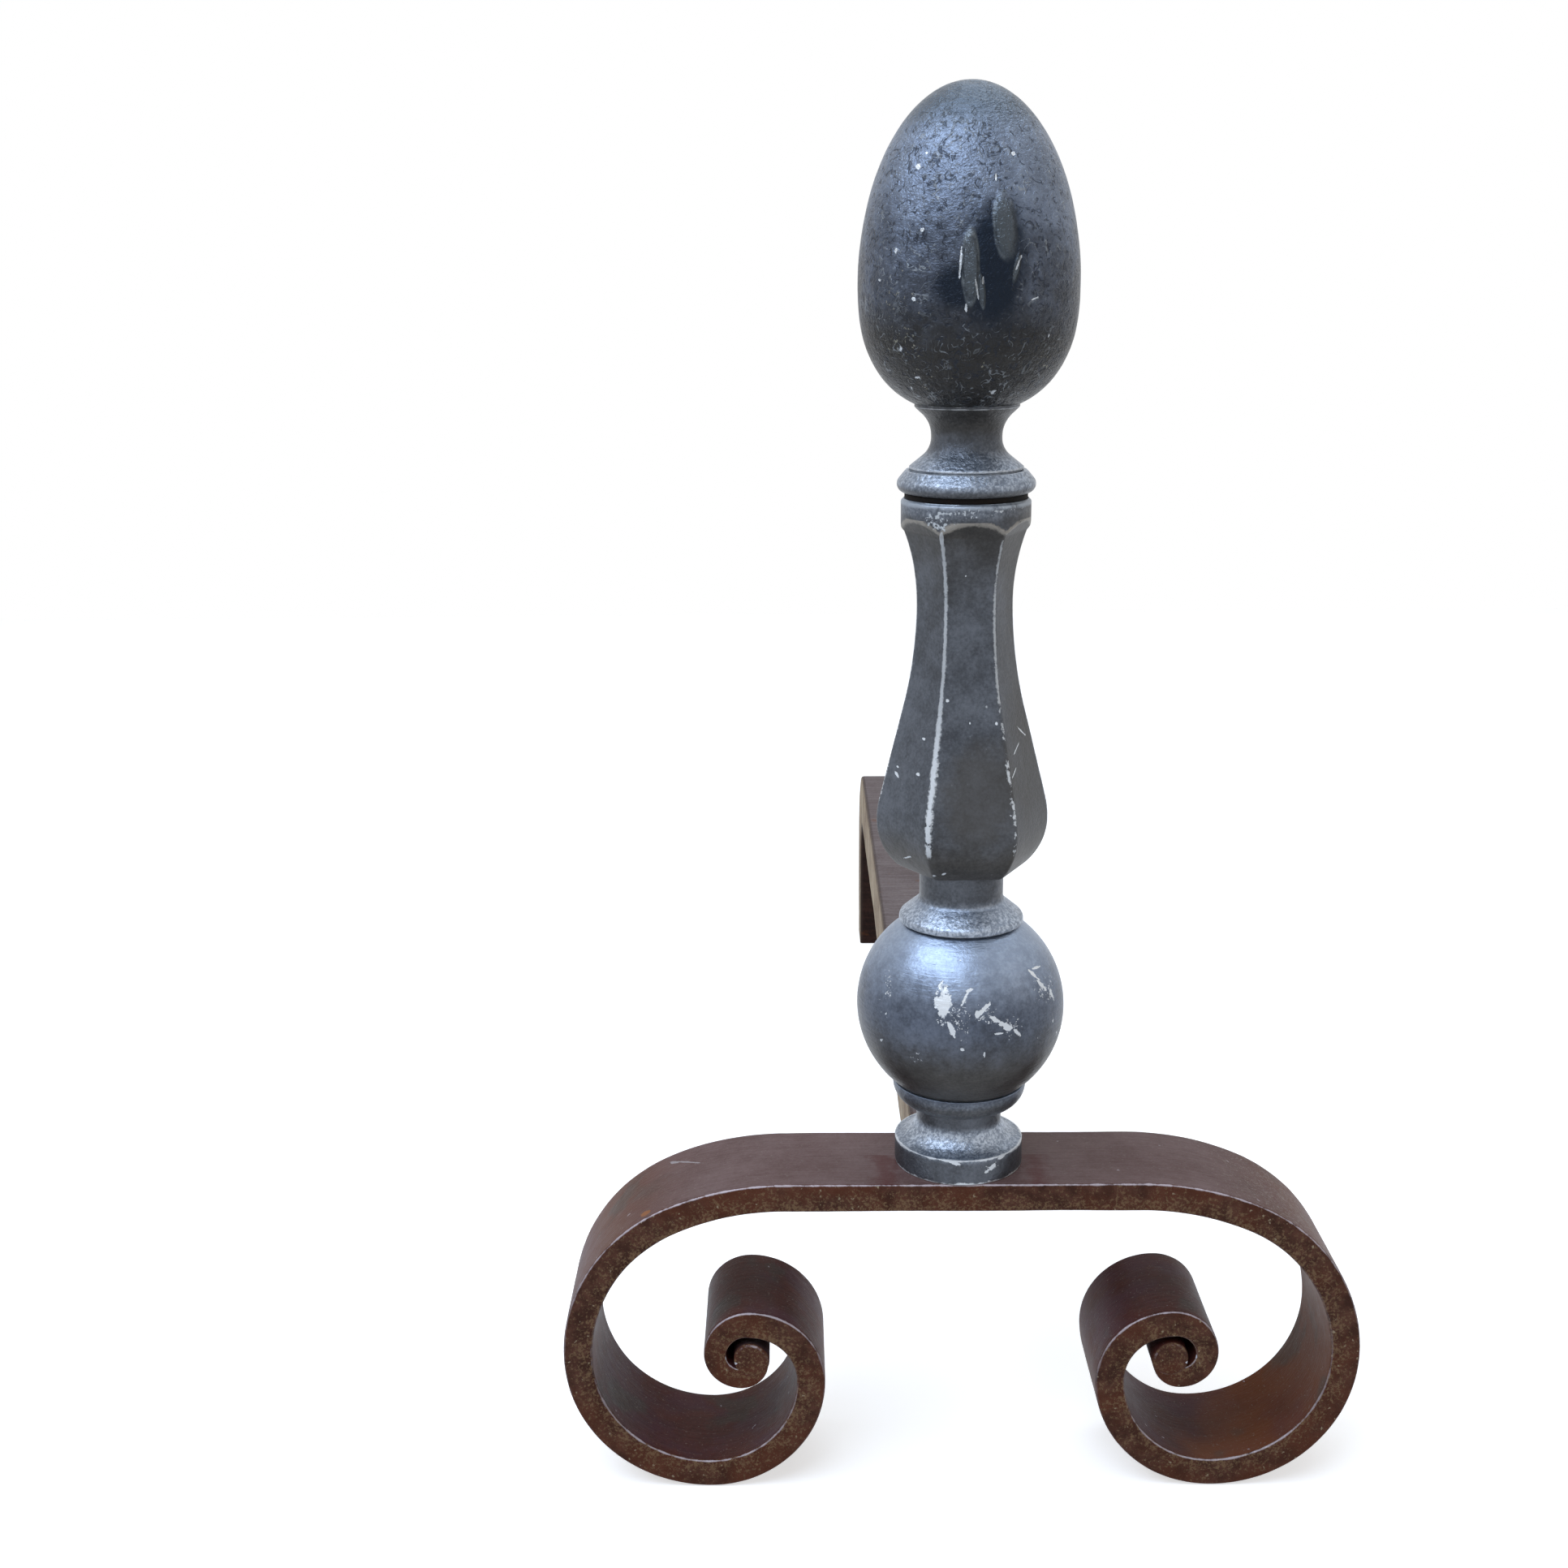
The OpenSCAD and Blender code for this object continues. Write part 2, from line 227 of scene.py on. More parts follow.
def rounded_corner(before, corner, after, radius):
    """Six points of the round that takes a corner's place."""
    a, b, c = Vector(before), Vector(corner), Vector(after)
    to_a, to_c = a - b, c - b
    reach = min(radius / math.tan(to_a.angle(to_c) / 2), 0.45 * to_a.length, 0.45 * to_c.length)
    start, end = b + to_a.normalized() * reach, b + to_c.normalized() * reach
    return [start * (1 - t) ** 2 + b * 2 * t * (1 - t) + end * t ** 2 for t in (i / 5 for i in range(6))]


def soften(corners, spacing, closed):
    """Points and edge gaps, in mm, of a line given as (x, y, corner radius)."""
    n = len(corners)
    dense, edges = [], []
    for i, (x, y, radius) in enumerate(corners):
        if radius and (closed or 0 < i < n - 1):
            curve = rounded_corner(corners[i - 1][:2], (x, y), corners[(i + 1) % n][:2], radius)
            edges.append(curve[2].lerp(curve[3], 0.5))
            dense += curve
        else:
            dense.append(Vector((x, y)))
    points = []
    for i, p in enumerate(dense):
        points.append(p)
        if i + 1 < len(dense) or closed:
            q = dense[(i + 1) % len(dense)]
            cuts = int((q - p).length / spacing)
            points += [p.lerp(q, k / (cuts + 1)) for k in range(1, cuts + 1)]
    gaps = [min([(p - e).length for e in edges] or [99.0]) for p in points]
    return points, gaps


def linked(name, data):
    """A new object in the scene."""
    made = bpy.data.objects.new(name, data)
    bpy.context.scene.collection.objects.link(made)
    return made


def drawn(name, points, edges, faces, values):
    """Points in mm, joined by edges or faces, as an object. The points carry named values."""
    mesh = bpy.data.meshes.new(name)
    mesh.from_pydata([[c * MM for c in p] for p in points], edges, faces)
    for key, numbers in values.items():
        mesh.attributes.new(key, "FLOAT", "POINT").data.foreach_set("value", numbers)
    return linked(name, mesh)


def drawn_line(name, points, values, closed):
    n = len(points)
    return drawn(name, points, [(i, i + 1) for i in range(n - 1)] + [(n - 1, 0)] * closed, [], values)


# %% [markdown]
# ## Wear in the shape itself
#
# Cast iron is never quite smooth and forged iron never quite straight. The last nodes of
# each shape move every point along its normal by two sizes of noise: wide dents and fine
# grain. The inputs have names, so each piece asks for its own depth, and the noise takes a
# fixed seed, so every run gives the same dents.

# %% Node groups: inputs, dents and finishing
SURFACE = {"Dent depth": "Float", "Dent size": "Float", "Grain depth": "Float", "Grain size": "Float",
           "Seed": "Float", "Material": "Material"}


def new_group(name, inputs):
    """A Geometry Nodes group with a geometry in and out, the named inputs and those of every surface."""
    group = bpy.data.node_groups.new(name, "GeometryNodeTree")
    for label, kind in {"Geometry": "Geometry", **inputs, **SURFACE}.items():
        group.interface.new_socket(label, in_out="INPUT", socket_type="NodeSocket" + kind)
    group.interface.new_socket("Geometry", in_out="OUTPUT", socket_type="NodeSocketGeometry")
    bench = Bench(group)
    entry = bench.node("NodeGroupInput")
    return group, bench, {s.name: Wire(bench, s) for s in entry.socket.node.outputs if s.name}


def finish_group(bench, geometry, given):
    """Dents, grain, smooth shading and the material, as the last nodes of every group."""
    where = bench.geo("InputPosition")
    dents = noise(where, given["Dent size"], 1.5, seed=given["Seed"])
    grain = noise(where, given["Grain size"], 2.0, seed=given["Seed"] + 7.0)
    lift = (dents - 0.5) * 2 * given["Dent depth"] + (grain - 0.5) * 2 * given["Grain depth"]
    offset = bench.scaled(bench.geo("InputNormal"), lift)
    moved = bench.geo("SetPosition", {"Geometry": geometry, "Offset": offset})
    smooth = bench.geo("SetShadeSmooth", {"Geometry": moved, "Shade Smooth": True})
    real = bench.geo("RealizeInstances", {"Geometry": smooth})
    dressed = bench.geo("SetMaterial", {"Geometry": real, "Material": given["Material"]})
    bench.node("NodeGroupOutput", {"Geometry": dressed})


def make_piece(line, group, wear, seed, material, name, slot, *nodes, lift=0.0, **more):
    """Runs a group on a drawn line and puts the result, a plain mesh, in the place of its CAD nodes.

    wear is the dents' depth and size and the grain's depth and size, in mm.
    """
    values = {**dict(zip(SURFACE, [v * MM for v in wear] + [seed, material])), **more}
    modifier = line.modifiers.new("shape", "NODES")
    modifier.node_group = group
    for item in group.interface.items_tree:
        if item.in_out == "INPUT" and item.name in values:
            modifier[item.identifier] = values[item.name]
    mesh = bpy.data.meshes.new_from_object(line.evaluated_get(bpy.context.evaluated_depsgraph_get()))
    mesh.name = name
    mesh.transform(Matrix.Translation((0, STEM_Y * MM, lift * MM)))
    bpy.data.objects.remove(line)
    work = bmesh.new()
    work.from_mesh(mesh)
    bmesh.ops.recalc_face_normals(work, faces=work.faces)
    open_edges = sum(len(e.link_faces) != 2 for e in work.edges)
    work.to_mesh(mesh)
    work.free()
    mesh.set_sharp_from_angle(angle=math.radians(60))
    piece = linked(name, mesh)
    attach(piece, "root")
    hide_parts(*nodes)
    triangles = sum(len(p.vertices) - 2 for p in mesh.polygons)
    box = [[round(end(v.co[i] for v in mesh.vertices) / MM, 1) for i in range(3)] for end in (min, max)]
    print(f"{name}: {triangles} triangles, {open_edges} open edges, box mm", *box)


# %% [markdown]
# ## The lathe
#
# Every casting of the stem is round, so it could be a Screw modifier, a spin in bmesh or a
# swept curve. Geometry Nodes' Curve to Mesh is used, because the points keep their
# `edge_gap` value while the line is carried round a circle. The circle's normal is set
# upwards, so the drawn line's X is height and its Y is the distance from the circle.

# %% Lathe group
SPINDLE = 50.0
WELD = 0.004


def lathe_mesh(bench, given):
    """The nodes that carry the drawn line round the axis."""
    line = bench.geo("MeshToCurve", {"Mesh": given["Geometry"]})
    circle = bench.geo("CurvePrimitiveCircle", {"Resolution": given["Segments"], "Radius": SPINDLE * MM})
    upright = bench.geo("SetCurveNormal", {"Curve": circle, "Normal": (0, 0, 1)}, mode="FREE")
    turned = bench.geo("CurveToMesh", {"Curve": upright, "Profile Curve": line})
    return bench.geo("MergeByDistance", {"Geometry": turned, "Distance": WELD * MM})


lathe, bench, given = new_group("lathe", {"Segments": "Int"})
finish_group(bench, lathe_mesh(bench, given), given)


def turned_piece(name, corners, material, slot, node, group=lathe, spacing=0.7, closed=True, segments=208,
                 dent=0.12, dent_size=14.0, grain=0.03, grain_size=2.2, seed=1.0, **more):
    """Draws (radius, height, corner radius) as a line and turns it."""
    flat, gaps = soften(corners, spacing, closed)
    points = [(p.y, p.x - SPINDLE, 0.0) for p in flat]
    line = drawn_line(name + "_line", points, {"edge_gap": [g * MM for g in gaps]}, closed)
    make_piece(line, group, (dent, dent_size, grain, grain_size), seed, material, name, slot, node,
               lift=STACK[node], Segments=segments, **more)


print("lathe inputs:", [i.name for i in lathe.interface.items_tree])

# %% [markdown]
# ## Finishes
#
# The stem is iron under a thin coat of dark slate paint with a soft sheen. The coat has worn
# off edges and chipped off the ball, and bright metal shows there. The bars were never
# painted, and their oxide is red-brown and ochre on the cut edges; the lighter mauve of the
# flat top is partly a painted sky sheen.
#
# Colours come from noise on Object coordinates, from the values stored on the points and from
# the world normal, so nothing slides when the view changes. The normal paints light and shade:
# darker undersides and front faces, lighter and bluer upper sides. Heights are summed in
# metres and feed one Bump node.


# %% A finish and its shared parts
def new_finish(name):
    """A material, its empty bench, the Object coordinates and the parts of the world normal."""
    material = bpy.data.materials.new(name)
    bench = empty_bench(material)
    normal = split(bench.shade("NewGeometry", out="Normal"))
    return material, bench, bench.shade("TexCoord", out="Object"), normal


def blend(low, high, share):
    """A colour between two colours."""
    return share.bench.shade("Mix", {"Factor": share, "A": low, "B": high}, out="Result", data_type="RGBA")


def layers(colour, *coats):
    """A colour under further colours, each laid on through its mask."""
    for coat, mask in coats:
        colour = blend(colour, coat, mask)
    return colour


def stored(bench, name, out="Fac"):
    """A value that the shape's node group stored on the points."""
    return bench.shade("Attribute", out=out, attribute_name=name)


def specks(where, size, radius, share, seed=0.0):
    """Small specks of uneven outline: a share of cells of the given size has one."""
    bench = where.bench
    bent = bench.shade("TexNoise", {"Vector": where, "Scale": 2.2 / size, "Detail": 1.0}, out="Color",
                      noise_dimensions="3D")
    shifted = bench.vector("ADD", where, bench.scaled(bent, size * 0.7))
    shifted = bench.vector("ADD", shifted, (seed, seed * 0.7, seed * 1.3))
    cell = bench.shade("TexVoronoi", {"Vector": shifted, "Scale": 1 / size}, out="Distance")
    return step(cell, radius, radius * 0.6) * (split(cell.also("Color"))[0] < share)


def nearest_mark(u, v, marks):
    """Distance to the nearest oval mark: 0 in its middle, 1 on its outline.

    A mark is its place across and up in mm, its half width, its half height and its tilt in degrees.
    """
    ovals = []
    for at_u, at_v, half_u, half_v, tilt in marks:
        du, dv = u - at_u * MM, v - at_v * MM
        a = (du * cosd(tilt) + dv * sind(tilt)) / (half_u * MM)
        b = (dv * cosd(tilt) - du * sind(tilt)) / (half_v * MM)
        ovals.append(a * a + b * b)
    return u.bench.math("SQRT", least(*ovals))


def chips(where, u, v, marks, ragged=1.0, seed=3.0):
    """1 inside the marks, with outlines torn at two sizes."""
    torn = (noise(where, 0.0024, 4, 0.75, seed) - 0.5) * 2.6 * ragged
    return step(nearest_mark(u, v, marks) + torn, 1.08, 0.92)


def spatter(where, u, v, areas, amount=0.56, size=0.0011, seed=4.0):
    """Fine flecks that thin out towards the outline of each area."""
    inside = step(nearest_mark(u, v, areas), 1.25, 0.3)
    flecks = noise(where, size, 3, 0.7, seed) + inside * 0.12 - 0.12
    return step(flecks, amount, amount + 0.03) * (inside > 0.02)


def dress(colour, roughness, metallic, height, specular):
    """The shader at the end of every finish."""
    bench = colour.bench
    bump = bench.shade("Bump", {"Height": height, "Distance": 1.0, "Strength": 1.0}, out="Normal")
    shader = bench.shade("BsdfPrincipled", {
        "Base Color": colour, "Roughness": roughness, "Metallic": metallic, "Specular IOR Level": specular,
        "Normal": bump})
    bench.shade("OutputMaterial", {"Surface": shader})


BARE = (0.66, 0.68, 0.70)
print("bare metal colour:", BARE)

# %% [markdown]
# ## Slate paint over bright metal
#
# One function makes the paint for every casting. What differs is given: how grainy the
# casting is, where it has rubbed thin, which marks it has on its front, and how wide the
# worn line along its edges is. It also paints light and shade by the way a face looks:
# painted shade on the undersides, and a painted sky sheen on the upper sides and rubbed bands.


# %% Paint
def slate_paint(name, seed, grain=1.0, rubbed_and_lit=None, chipped=(), spattered=(), worn=0.0, worn_share=0.85,
                flecks=0.05, rough=0.38, streaks=0.0, painted_sheen=0.0, sheen_from=0.2, patchy=0.5, shade_level=1.0,
                shade_from=-0.45, sky_blue=0.0, extra=None):
    """The paint of one casting. rubbed is a band: its lower and upper height, soft edge and strength."""
    material, bench, where, (_, _, nz) = new_finish(name)
    x, y, z = split(where)
    front = y < STEM_Y * MM
    cloud = noise(where, 0.016, 3, 0.55, seed)
    middle = noise(where, 0.0034, 3, 0.6, seed + 2)
    fine = noise(where, 0.001, 3, 0.65, seed + 1)
    tone = step(cloud * 0.4 + middle * 0.25 + fine * 0.35, 0.34, 0.68)
    facing = nz + (cloud - 0.5) * patchy + (middle - 0.5) * 0.25
    # Painted shade darkens and browns the undersides; a painted sky reflection blues the upper sides
    shaded_paint = blend([c * shade_level for c in (0.032, 0.030, 0.028)], [c * shade_level for c in (0.080, 0.075, 0.070)], tone)
    lit_paint = blend((0.051, 0.056 + 0.004 * sky_blue, 0.066 + 0.014 * sky_blue),
                  (0.128, 0.139 + 0.01 * sky_blue, 0.161 + 0.034 * sky_blue), tone)
    high = step(facing, shade_from, shade_from + 0.65)
    paint = blend(shaded_paint, lit_paint, high)
    metal = 0.25 + high * 0.35
    grains = step(fine * 0.6 + middle * 0.4, 0.42, 0.62)
    # Painted sky sheen: what faces upwards is lighter, bluer and more metallic
    if painted_sheen:
        bright = step(facing, sheen_from, sheen_from + 0.6) * painted_sheen
        paint = blend(paint, blend((0.235, 0.283, 0.372), (0.285, 0.343, 0.440), grains), bright)
        metal = metal + bright * 0.3
    # Where hands and rags rub, the coat is thin and grains of metal shine through;
    # the band is stronger on upward faces, a painted highlight
    if rubbed_and_lit:
        bottom, top, soft, strength = rubbed_and_lit
        band = step(z, (bottom - soft) * MM, (bottom + soft) * MM)
        band = band * step(z, (top + soft) * MM, (top - soft) * MM) * strength
        thin = band * (0.35 + step(facing, -0.4, 0.3) * 0.65)
        sparkle = step(fine * 0.82 + middle * 0.18, 0.4, 0.64)
        paint = blend(paint, blend((0.19, 0.222, 0.275), (0.48, 0.535, 0.62), sparkle), thin * 0.9)
        metal = most(metal, thin * 0.85)
    # Bare metal on edges, in chips and in stray specks
    stray = step(fine * 0.7 + middle * 0.3, 0.66, 0.72) * flecks
    bare = most(stray, specks(where, 0.008, 0.09, 0.14, seed) * 0.8)
    if worn:
        edge = stored(bench, "edge_gap") + (noise(where, 0.0045, 4, 0.7, seed + 4) - 0.45) * worn * 3.2 * MM
        bare = most(bare, step(edge, worn * MM, worn * 0.4 * MM) * worn_share)
    if chipped:
        bare = most(bare, chips(where, x, z, chipped, 1.35, seed) * front)
    if spattered:
        bare = most(bare, spatter(where, x, z, spattered, seed=seed + 6) * front * 0.85)
    height = (fine - 0.5) * (0.00014 * grain) + (middle - 0.5) * (0.0002 * grain)
    roughness = rough + (cloud - 0.5) * 0.14 + (middle - 0.5) * 0.16
    if streaks:
        wiped = noise(where, 0.009, 3, 0.65, seed + 7, stretch=(1.0, 1.0, 11.0))
        height = height + (wiped - 0.5) * (0.00016 * streaks)
        roughness = roughness + (wiped - 0.5) * 0.22 * streaks
        bare = most(bare, step(wiped, 0.70, 0.76) * step(fine, 0.45, 0.6) * 0.35 * streaks)
    if extra:
        paint, bare, roughness, height = extra(where, x, y, z, front, paint, bare, roughness, height)
    colour = blend(paint, BARE, bare)
    dress(colour, roughness + bare * 0.06, metal - bare * 0.2, height - bare * 0.00006, 0.18)
    return material


# %% Pedestal and ball paint
BALL_CHIPS = [(-7.8, 176.9, 2.2, 5.4, 2), (-5.6, 169.6, 0.8, 3, 22), (-1.2, 178.8, 0.45, 2.2, -30),
              (0.3, 181.2, 1.1, 0.4, 10), (4.2, 175, 0.65, 2.8, -48), (2.6, 174, 0.65, 1.2, 0),
              (8.2, 172.4, 0.8, 2.4, 55), (11.8, 169.8, 0.95, 3, 60), (15.4, 167.2, 0.65, 2, 40),
              (21.4, 182.8, 0.35, 2.6, 44), (24, 179.2, 0.4, 2.6, 40), (27.6, 175.4, 0.35, 2.2, 22),
              (9.6, 167.6, 1.2, 0.3, 0), (5.1, 160.6, 0.35, 1, 0), (-1.9, 162.8, 0.7, 0.6, 0),
              (23, 184, 1.6, 0.3, -10)]
BALL_SPATTER = [(-2.5, 173.5, 4.5, 7.5, 0), (5.5, 174, 4.5, 4, 0), (13, 169.5, 5, 4, -35),
                (25, 178, 4, 7, 25), (-24.8, 179.6, 1.6, 4.6, 0), (-25.8, 170, 1.4, 1.6, 0),
                (30.4, 160, 1, 3.4, 0), (-16, 158, 3, 2.5, 0), (28.2, 166, 1.2, 2, 0), (22, 163, 1.2, 1, 0)]
pedestal_paint = slate_paint(
    "pedestal_paint", 21.0, grain=1.6, rubbed_and_lit=(118.6, 125.6, 1.6, 1), worn=0.8, worn_share=1.0, flecks=0.3,
    painted_sheen=0.3,
    chipped=[(9.4, 115.6, 1.5, 0.8, 35), (7.6, 114.4, 0.8, 0.5, 0), (-2.6, 118, 1.6, 0.5, -12),
             (12.6, 118.2, 1, 0.5, 0)],
    spattered=[(9.5, 115.6, 3.2, 2.4, 0), (-4, 117.6, 5, 1.2, 0)])
ball_paint = slate_paint(
    "ball_paint", 22.0, grain=0.75, rubbed_and_lit=(120, 138.6, 1, 0.35), chipped=BALL_CHIPS, spattered=BALL_SPATTER,
    flecks=0.1, streaks=1.0, painted_sheen=1.0, sheen_from=0.14, patchy=0.22, sky_blue=1.0)
spool_paint = slate_paint(
    "spool_paint", 23.0, grain=1.2, rubbed_and_lit=(190, 201.6, 3.8, 1), worn=0.3, worn_share=0.6, flecks=0.25,
    painted_sheen=0.9)
print("paint nodes on the ball:", len(ball_paint.node_tree.nodes))


# %% Baluster paint
def rib_wear_and_shade(where, x, y, z, front, paint, bare, roughness, height):
    """Worn lines on the baluster's six edges, the pale band along its arches, and painted shade on its right
    side.
    """
    left = (x < 0.0) * (y < (STEM_Y - 8) * MM)
    low = step(z, 0.276, 0.246) * step(z, 0.2215, 0.225)
    breaks = noise(where, 0.008, 4, 0.7, 31)
    torn = (noise(where, 0.0014, 4, 0.8, 32) - 0.5) * 5 * MM
    width = (0.6 + left * (0.2 + low * 0.8)) * (0.45 + breaks * 1.05) * MM
    whole = most(step(breaks, 0.4, 0.5), left * step(z, 0.234, 0.24), step(z, 0.268, 0.285) * 0.8)
    gap = stored(where.bench, "rib_gap") + torn * (0.36 + low * 0.38)
    line = step(gap, width * whole, width * whole * 0.35)
    line = line * step(z, 0.2215, 0.2235) * (whole > 0.05)
    join = chips(where, x, z, [(-8.75, 322.2, 0.65, 2.2, 4)], 0.5, 37) * front
    bare = most(bare, line * (0.46 + low * 0.36 + step(torn, -1 * MM, 1 * MM) * 0.16), join * 0.6)
    # Painted shade darkens and browns the right side, and the foot of the middle face the same way
    foot = step(nearest_mark(x, z, [(5, 242, 15, 19, -20)]) + (breaks - 0.5), 1.2, 0.5)
    side_and_foot_shade = most(step(x, 0.006, 0.02) * 0.6, foot * 0.6) * front
    # The pale band on the edge of the arches, chalky chips above it and the collar's worn lip
    heap = step(nearest_mark(x, z, [(-7.4, 326.4, 3.2, 2, 0)]), 1.3, 0.4) * front
    gap = stored(where.bench, "arch_gap") + torn * 0.36
    band = step(gap, (0.95 + heap * 0.8) * MM, (0.25 + heap * 0.6) * MM)
    band = band * step(breaks, 0.3, 0.46)
    flakes = [(-9.5, 327.4, 5, 2.6, -8), (-3, 330.2, 9, 1.8, 0), (8, 331, 8, 1, 0)]
    chalk = spatter(where, x, z, flakes, 0.5, 0.0013, 36) * front
    lip = step(z + torn * 0.15, 0.3306, 0.3316) * step(breaks, 0.35, 0.5)
    paint = layers(
        paint, ((0.062, 0.056, 0.048), side_and_foot_shade), ((0.31, 0.285, 0.25), band * 0.8),
        ((0.5, 0.53, 0.56), chalk * 0.8), ((0.36, 0.4, 0.45), lip * 0.7))
    return paint, bare, roughness, height + (band + chalk) * 0.00007


BALUSTER_CHIPS = [(-6.4, 271.3, 0.5, 0.5, 0), (-13.5, 258.5, 0.45, 0.45, 0), (-15.3, 247.5, 0.45, 0.45, 0),
                  (-21.5, 245.2, 0.35, 0.9, 30), (-21.2, 247.6, 0.3, 0.3, 0), (8.8, 264.1, 0.5, 0.6, 0),
                  (0.6, 264.4, 0.3, 0.4, 0), (-1, 310.1, 0.4, 0.4, 0), (-7.4, 216.4, 0.7, 0.4, 20),
                  (-18.4, 219.4, 1.1, 0.3, 45), (18.2, 258.6, 0.2, 2.4, 40), (15.6, 254.4, 0.2, 2, -40),
                  (14.6, 248, 0.2, 1.4, -35)]
baluster_paint = slate_paint(
    "baluster_paint", 24.0, rubbed_and_lit=(328.5, 334, 1.5, 0.38), chipped=BALUSTER_CHIPS, flecks=0.3, rough=0.45,
    extra=rib_wear_and_shade)
cup_paint = slate_paint(
    "finial_cup_paint", 25.0, grain=2.2, rubbed_and_lit=(335.4, 346.5, 2.4, 0.8), worn=0.32, worn_share=0.4,
    flecks=0.3, rough=0.36)
print("paint nodes on the baluster:", len(baluster_paint.node_tree.nodes))


# %% Egg paint
EGG_DROPS = [(-2.4, 403.4, 2.8, 12, 0), (7.6, 414.6, 3.8, 10.4, 5), (0.9, 396.2, 1.1, 5.4, 6),
             (11, 402.6, 1.1, 4.6, -12)]
EGG_OCHRE = [(-21.5, 380, 8, 9, 0), (-14, 371, 9, 4.5, 0), (4, 375, 6, 3.5, 0), (-22, 395, 8, 9, 0),
             (20, 375, 6, 7, 0)]


def egg_crust(where, x, y, z, front, paint, bare, roughness, height):
    """Short crossed marks in the coat, run drops of it, and a painted dark reflection round them."""
    def strokes(size, seed, thin):
        line = noise(where, size, 1, 0.5, seed, Distortion=1.1)
        gate = step(noise(where, size * 0.8, 1, 0.5, seed + 1), 0.5, 0.56)
        return step(abs(line - 0.5), thin, 0.0) * gate
    dark_strokes = strokes(0.0034, 61, 0.070)
    pale_strokes = strokes(0.0036, 64, 0.045)
    patches = step(noise(where, 0.012, 2, 0.5, 66), 0.4, 0.6)
    crust = abs(noise(where, 0.0052, 3, 0.7, 65, stretch=(1.0, 1.0, 1.8)) - 0.5)
    # Painted shade: the top of the egg is darker
    top_shade = step(z, 0.438, 0.452)
    # Painted reflection: a dark patch round the drops
    dark_reflection = nearest_mark(x, z, [(4.6, 404, 9.5, 20, -4), (-5, 398, 9, 7, 0)])
    dark_reflection = step(dark_reflection + (noise(where, 0.007, 3, 0.6, 67) - 0.5) * 0.8, 1.25, 0.55) * front
    drops = nearest_mark(x, z, EGG_DROPS)
    dome = step(drops + (noise(where, 0.004, 2, 0.5, 68) - 0.5) * 0.3, 1.05, 0.55) * front
    # Painted highlight: a pale rim on the left of each drop
    rim = step(drops + (noise(where, 0.003, 3, 0.6, 70) - 0.5) * 0.5, 0.72, 0.95) * dome * 2
    ochre = spatter(where, x, z, EGG_OCHRE, 0.6, 0.0014, 69) * front
    paint = layers(
        paint, ((0.014, 0.018, 0.027), dark_strokes * 0.8),
        ((0.24, 0.26, 0.28), pale_strokes * (0.2 + patches * 0.5)),
        ((0.02, 0.026, 0.04), step(crust, 0.026, 0.0) * 0.28), ((0.07, 0.088, 0.11), top_shade * 0.9),
        ((0.004, 0.009, 0.018), dark_reflection * 0.95), ((0.085, 0.098, 0.108), dome * 0.7),
        ((0.24, 0.27, 0.29), least(rim, 1.0) * step(x, 0.012, 0.002) * 0.6),
        ((0.27, 0.255, 0.2), ochre * 0.7))
    height = height - dark_strokes * 0.00014 + pale_strokes * 0.00014 + crust * 0.0012 + dome * 0.0011
    return paint, bare * (1 - dark_reflection * 0.3), roughness - dome * 0.16, height


# Chips of bare metal; the thin marks on the drops' edges are painted glints, laid on as bare metal
EGG_CHIPS_AND_GLINTS = [(-17, 431.8, 0.7, 0.7, 0), (-14.5, 435.4, 0.4, 0.4, 0), (-16.1, 413.8, 0.5, 0.5, 0),
             (-23.4, 408.1, 0.4, 0.7, -20), (-18.4, 394.2, 0.5, 0.7, 0), (-27.9, 399.5, 0.35, 0.35, 0),
             (10.5, 435, 0.5, 0.5, 0), (5, 428.4, 0.3, 1.2, 0), (-5.3, 404, 0.28, 4, -4),
             (-0.5, 397, 0.25, 2.6, 10), (1.2, 399.2, 0.35, 1.1, 0), (11.4, 403.6, 0.28, 2.4, -22),
             (16.8, 394, 1.2, 0.25, 20), (-3.5, 391.4, 0.35, 1, 0), (-21.8, 379.6, 0.5, 0.9, 0),
             (-16.8, 371.1, 0.8, 0.5, 0)]
egg_paint = slate_paint(
    "egg_paint", 26.0, grain=2.4, chipped=EGG_CHIPS_AND_GLINTS, flecks=0.2, rough=0.36, painted_sheen=0.52, sheen_from=-0.04,
    patchy=0.3, shade_level=0.4, shade_from=-0.32, sky_blue=1.4, extra=egg_crust)
print("paint nodes on the egg:", len(egg_paint.node_tree.nodes))

# %% [markdown]
# ## Oxide on the forged bars
#
# The swept bars carry `section_point`, the place on the bar's section, and `along`, the
# distance along the path. They tell the wide faces from the cut edges and let faint brush
# marks run lengthwise round every bend.


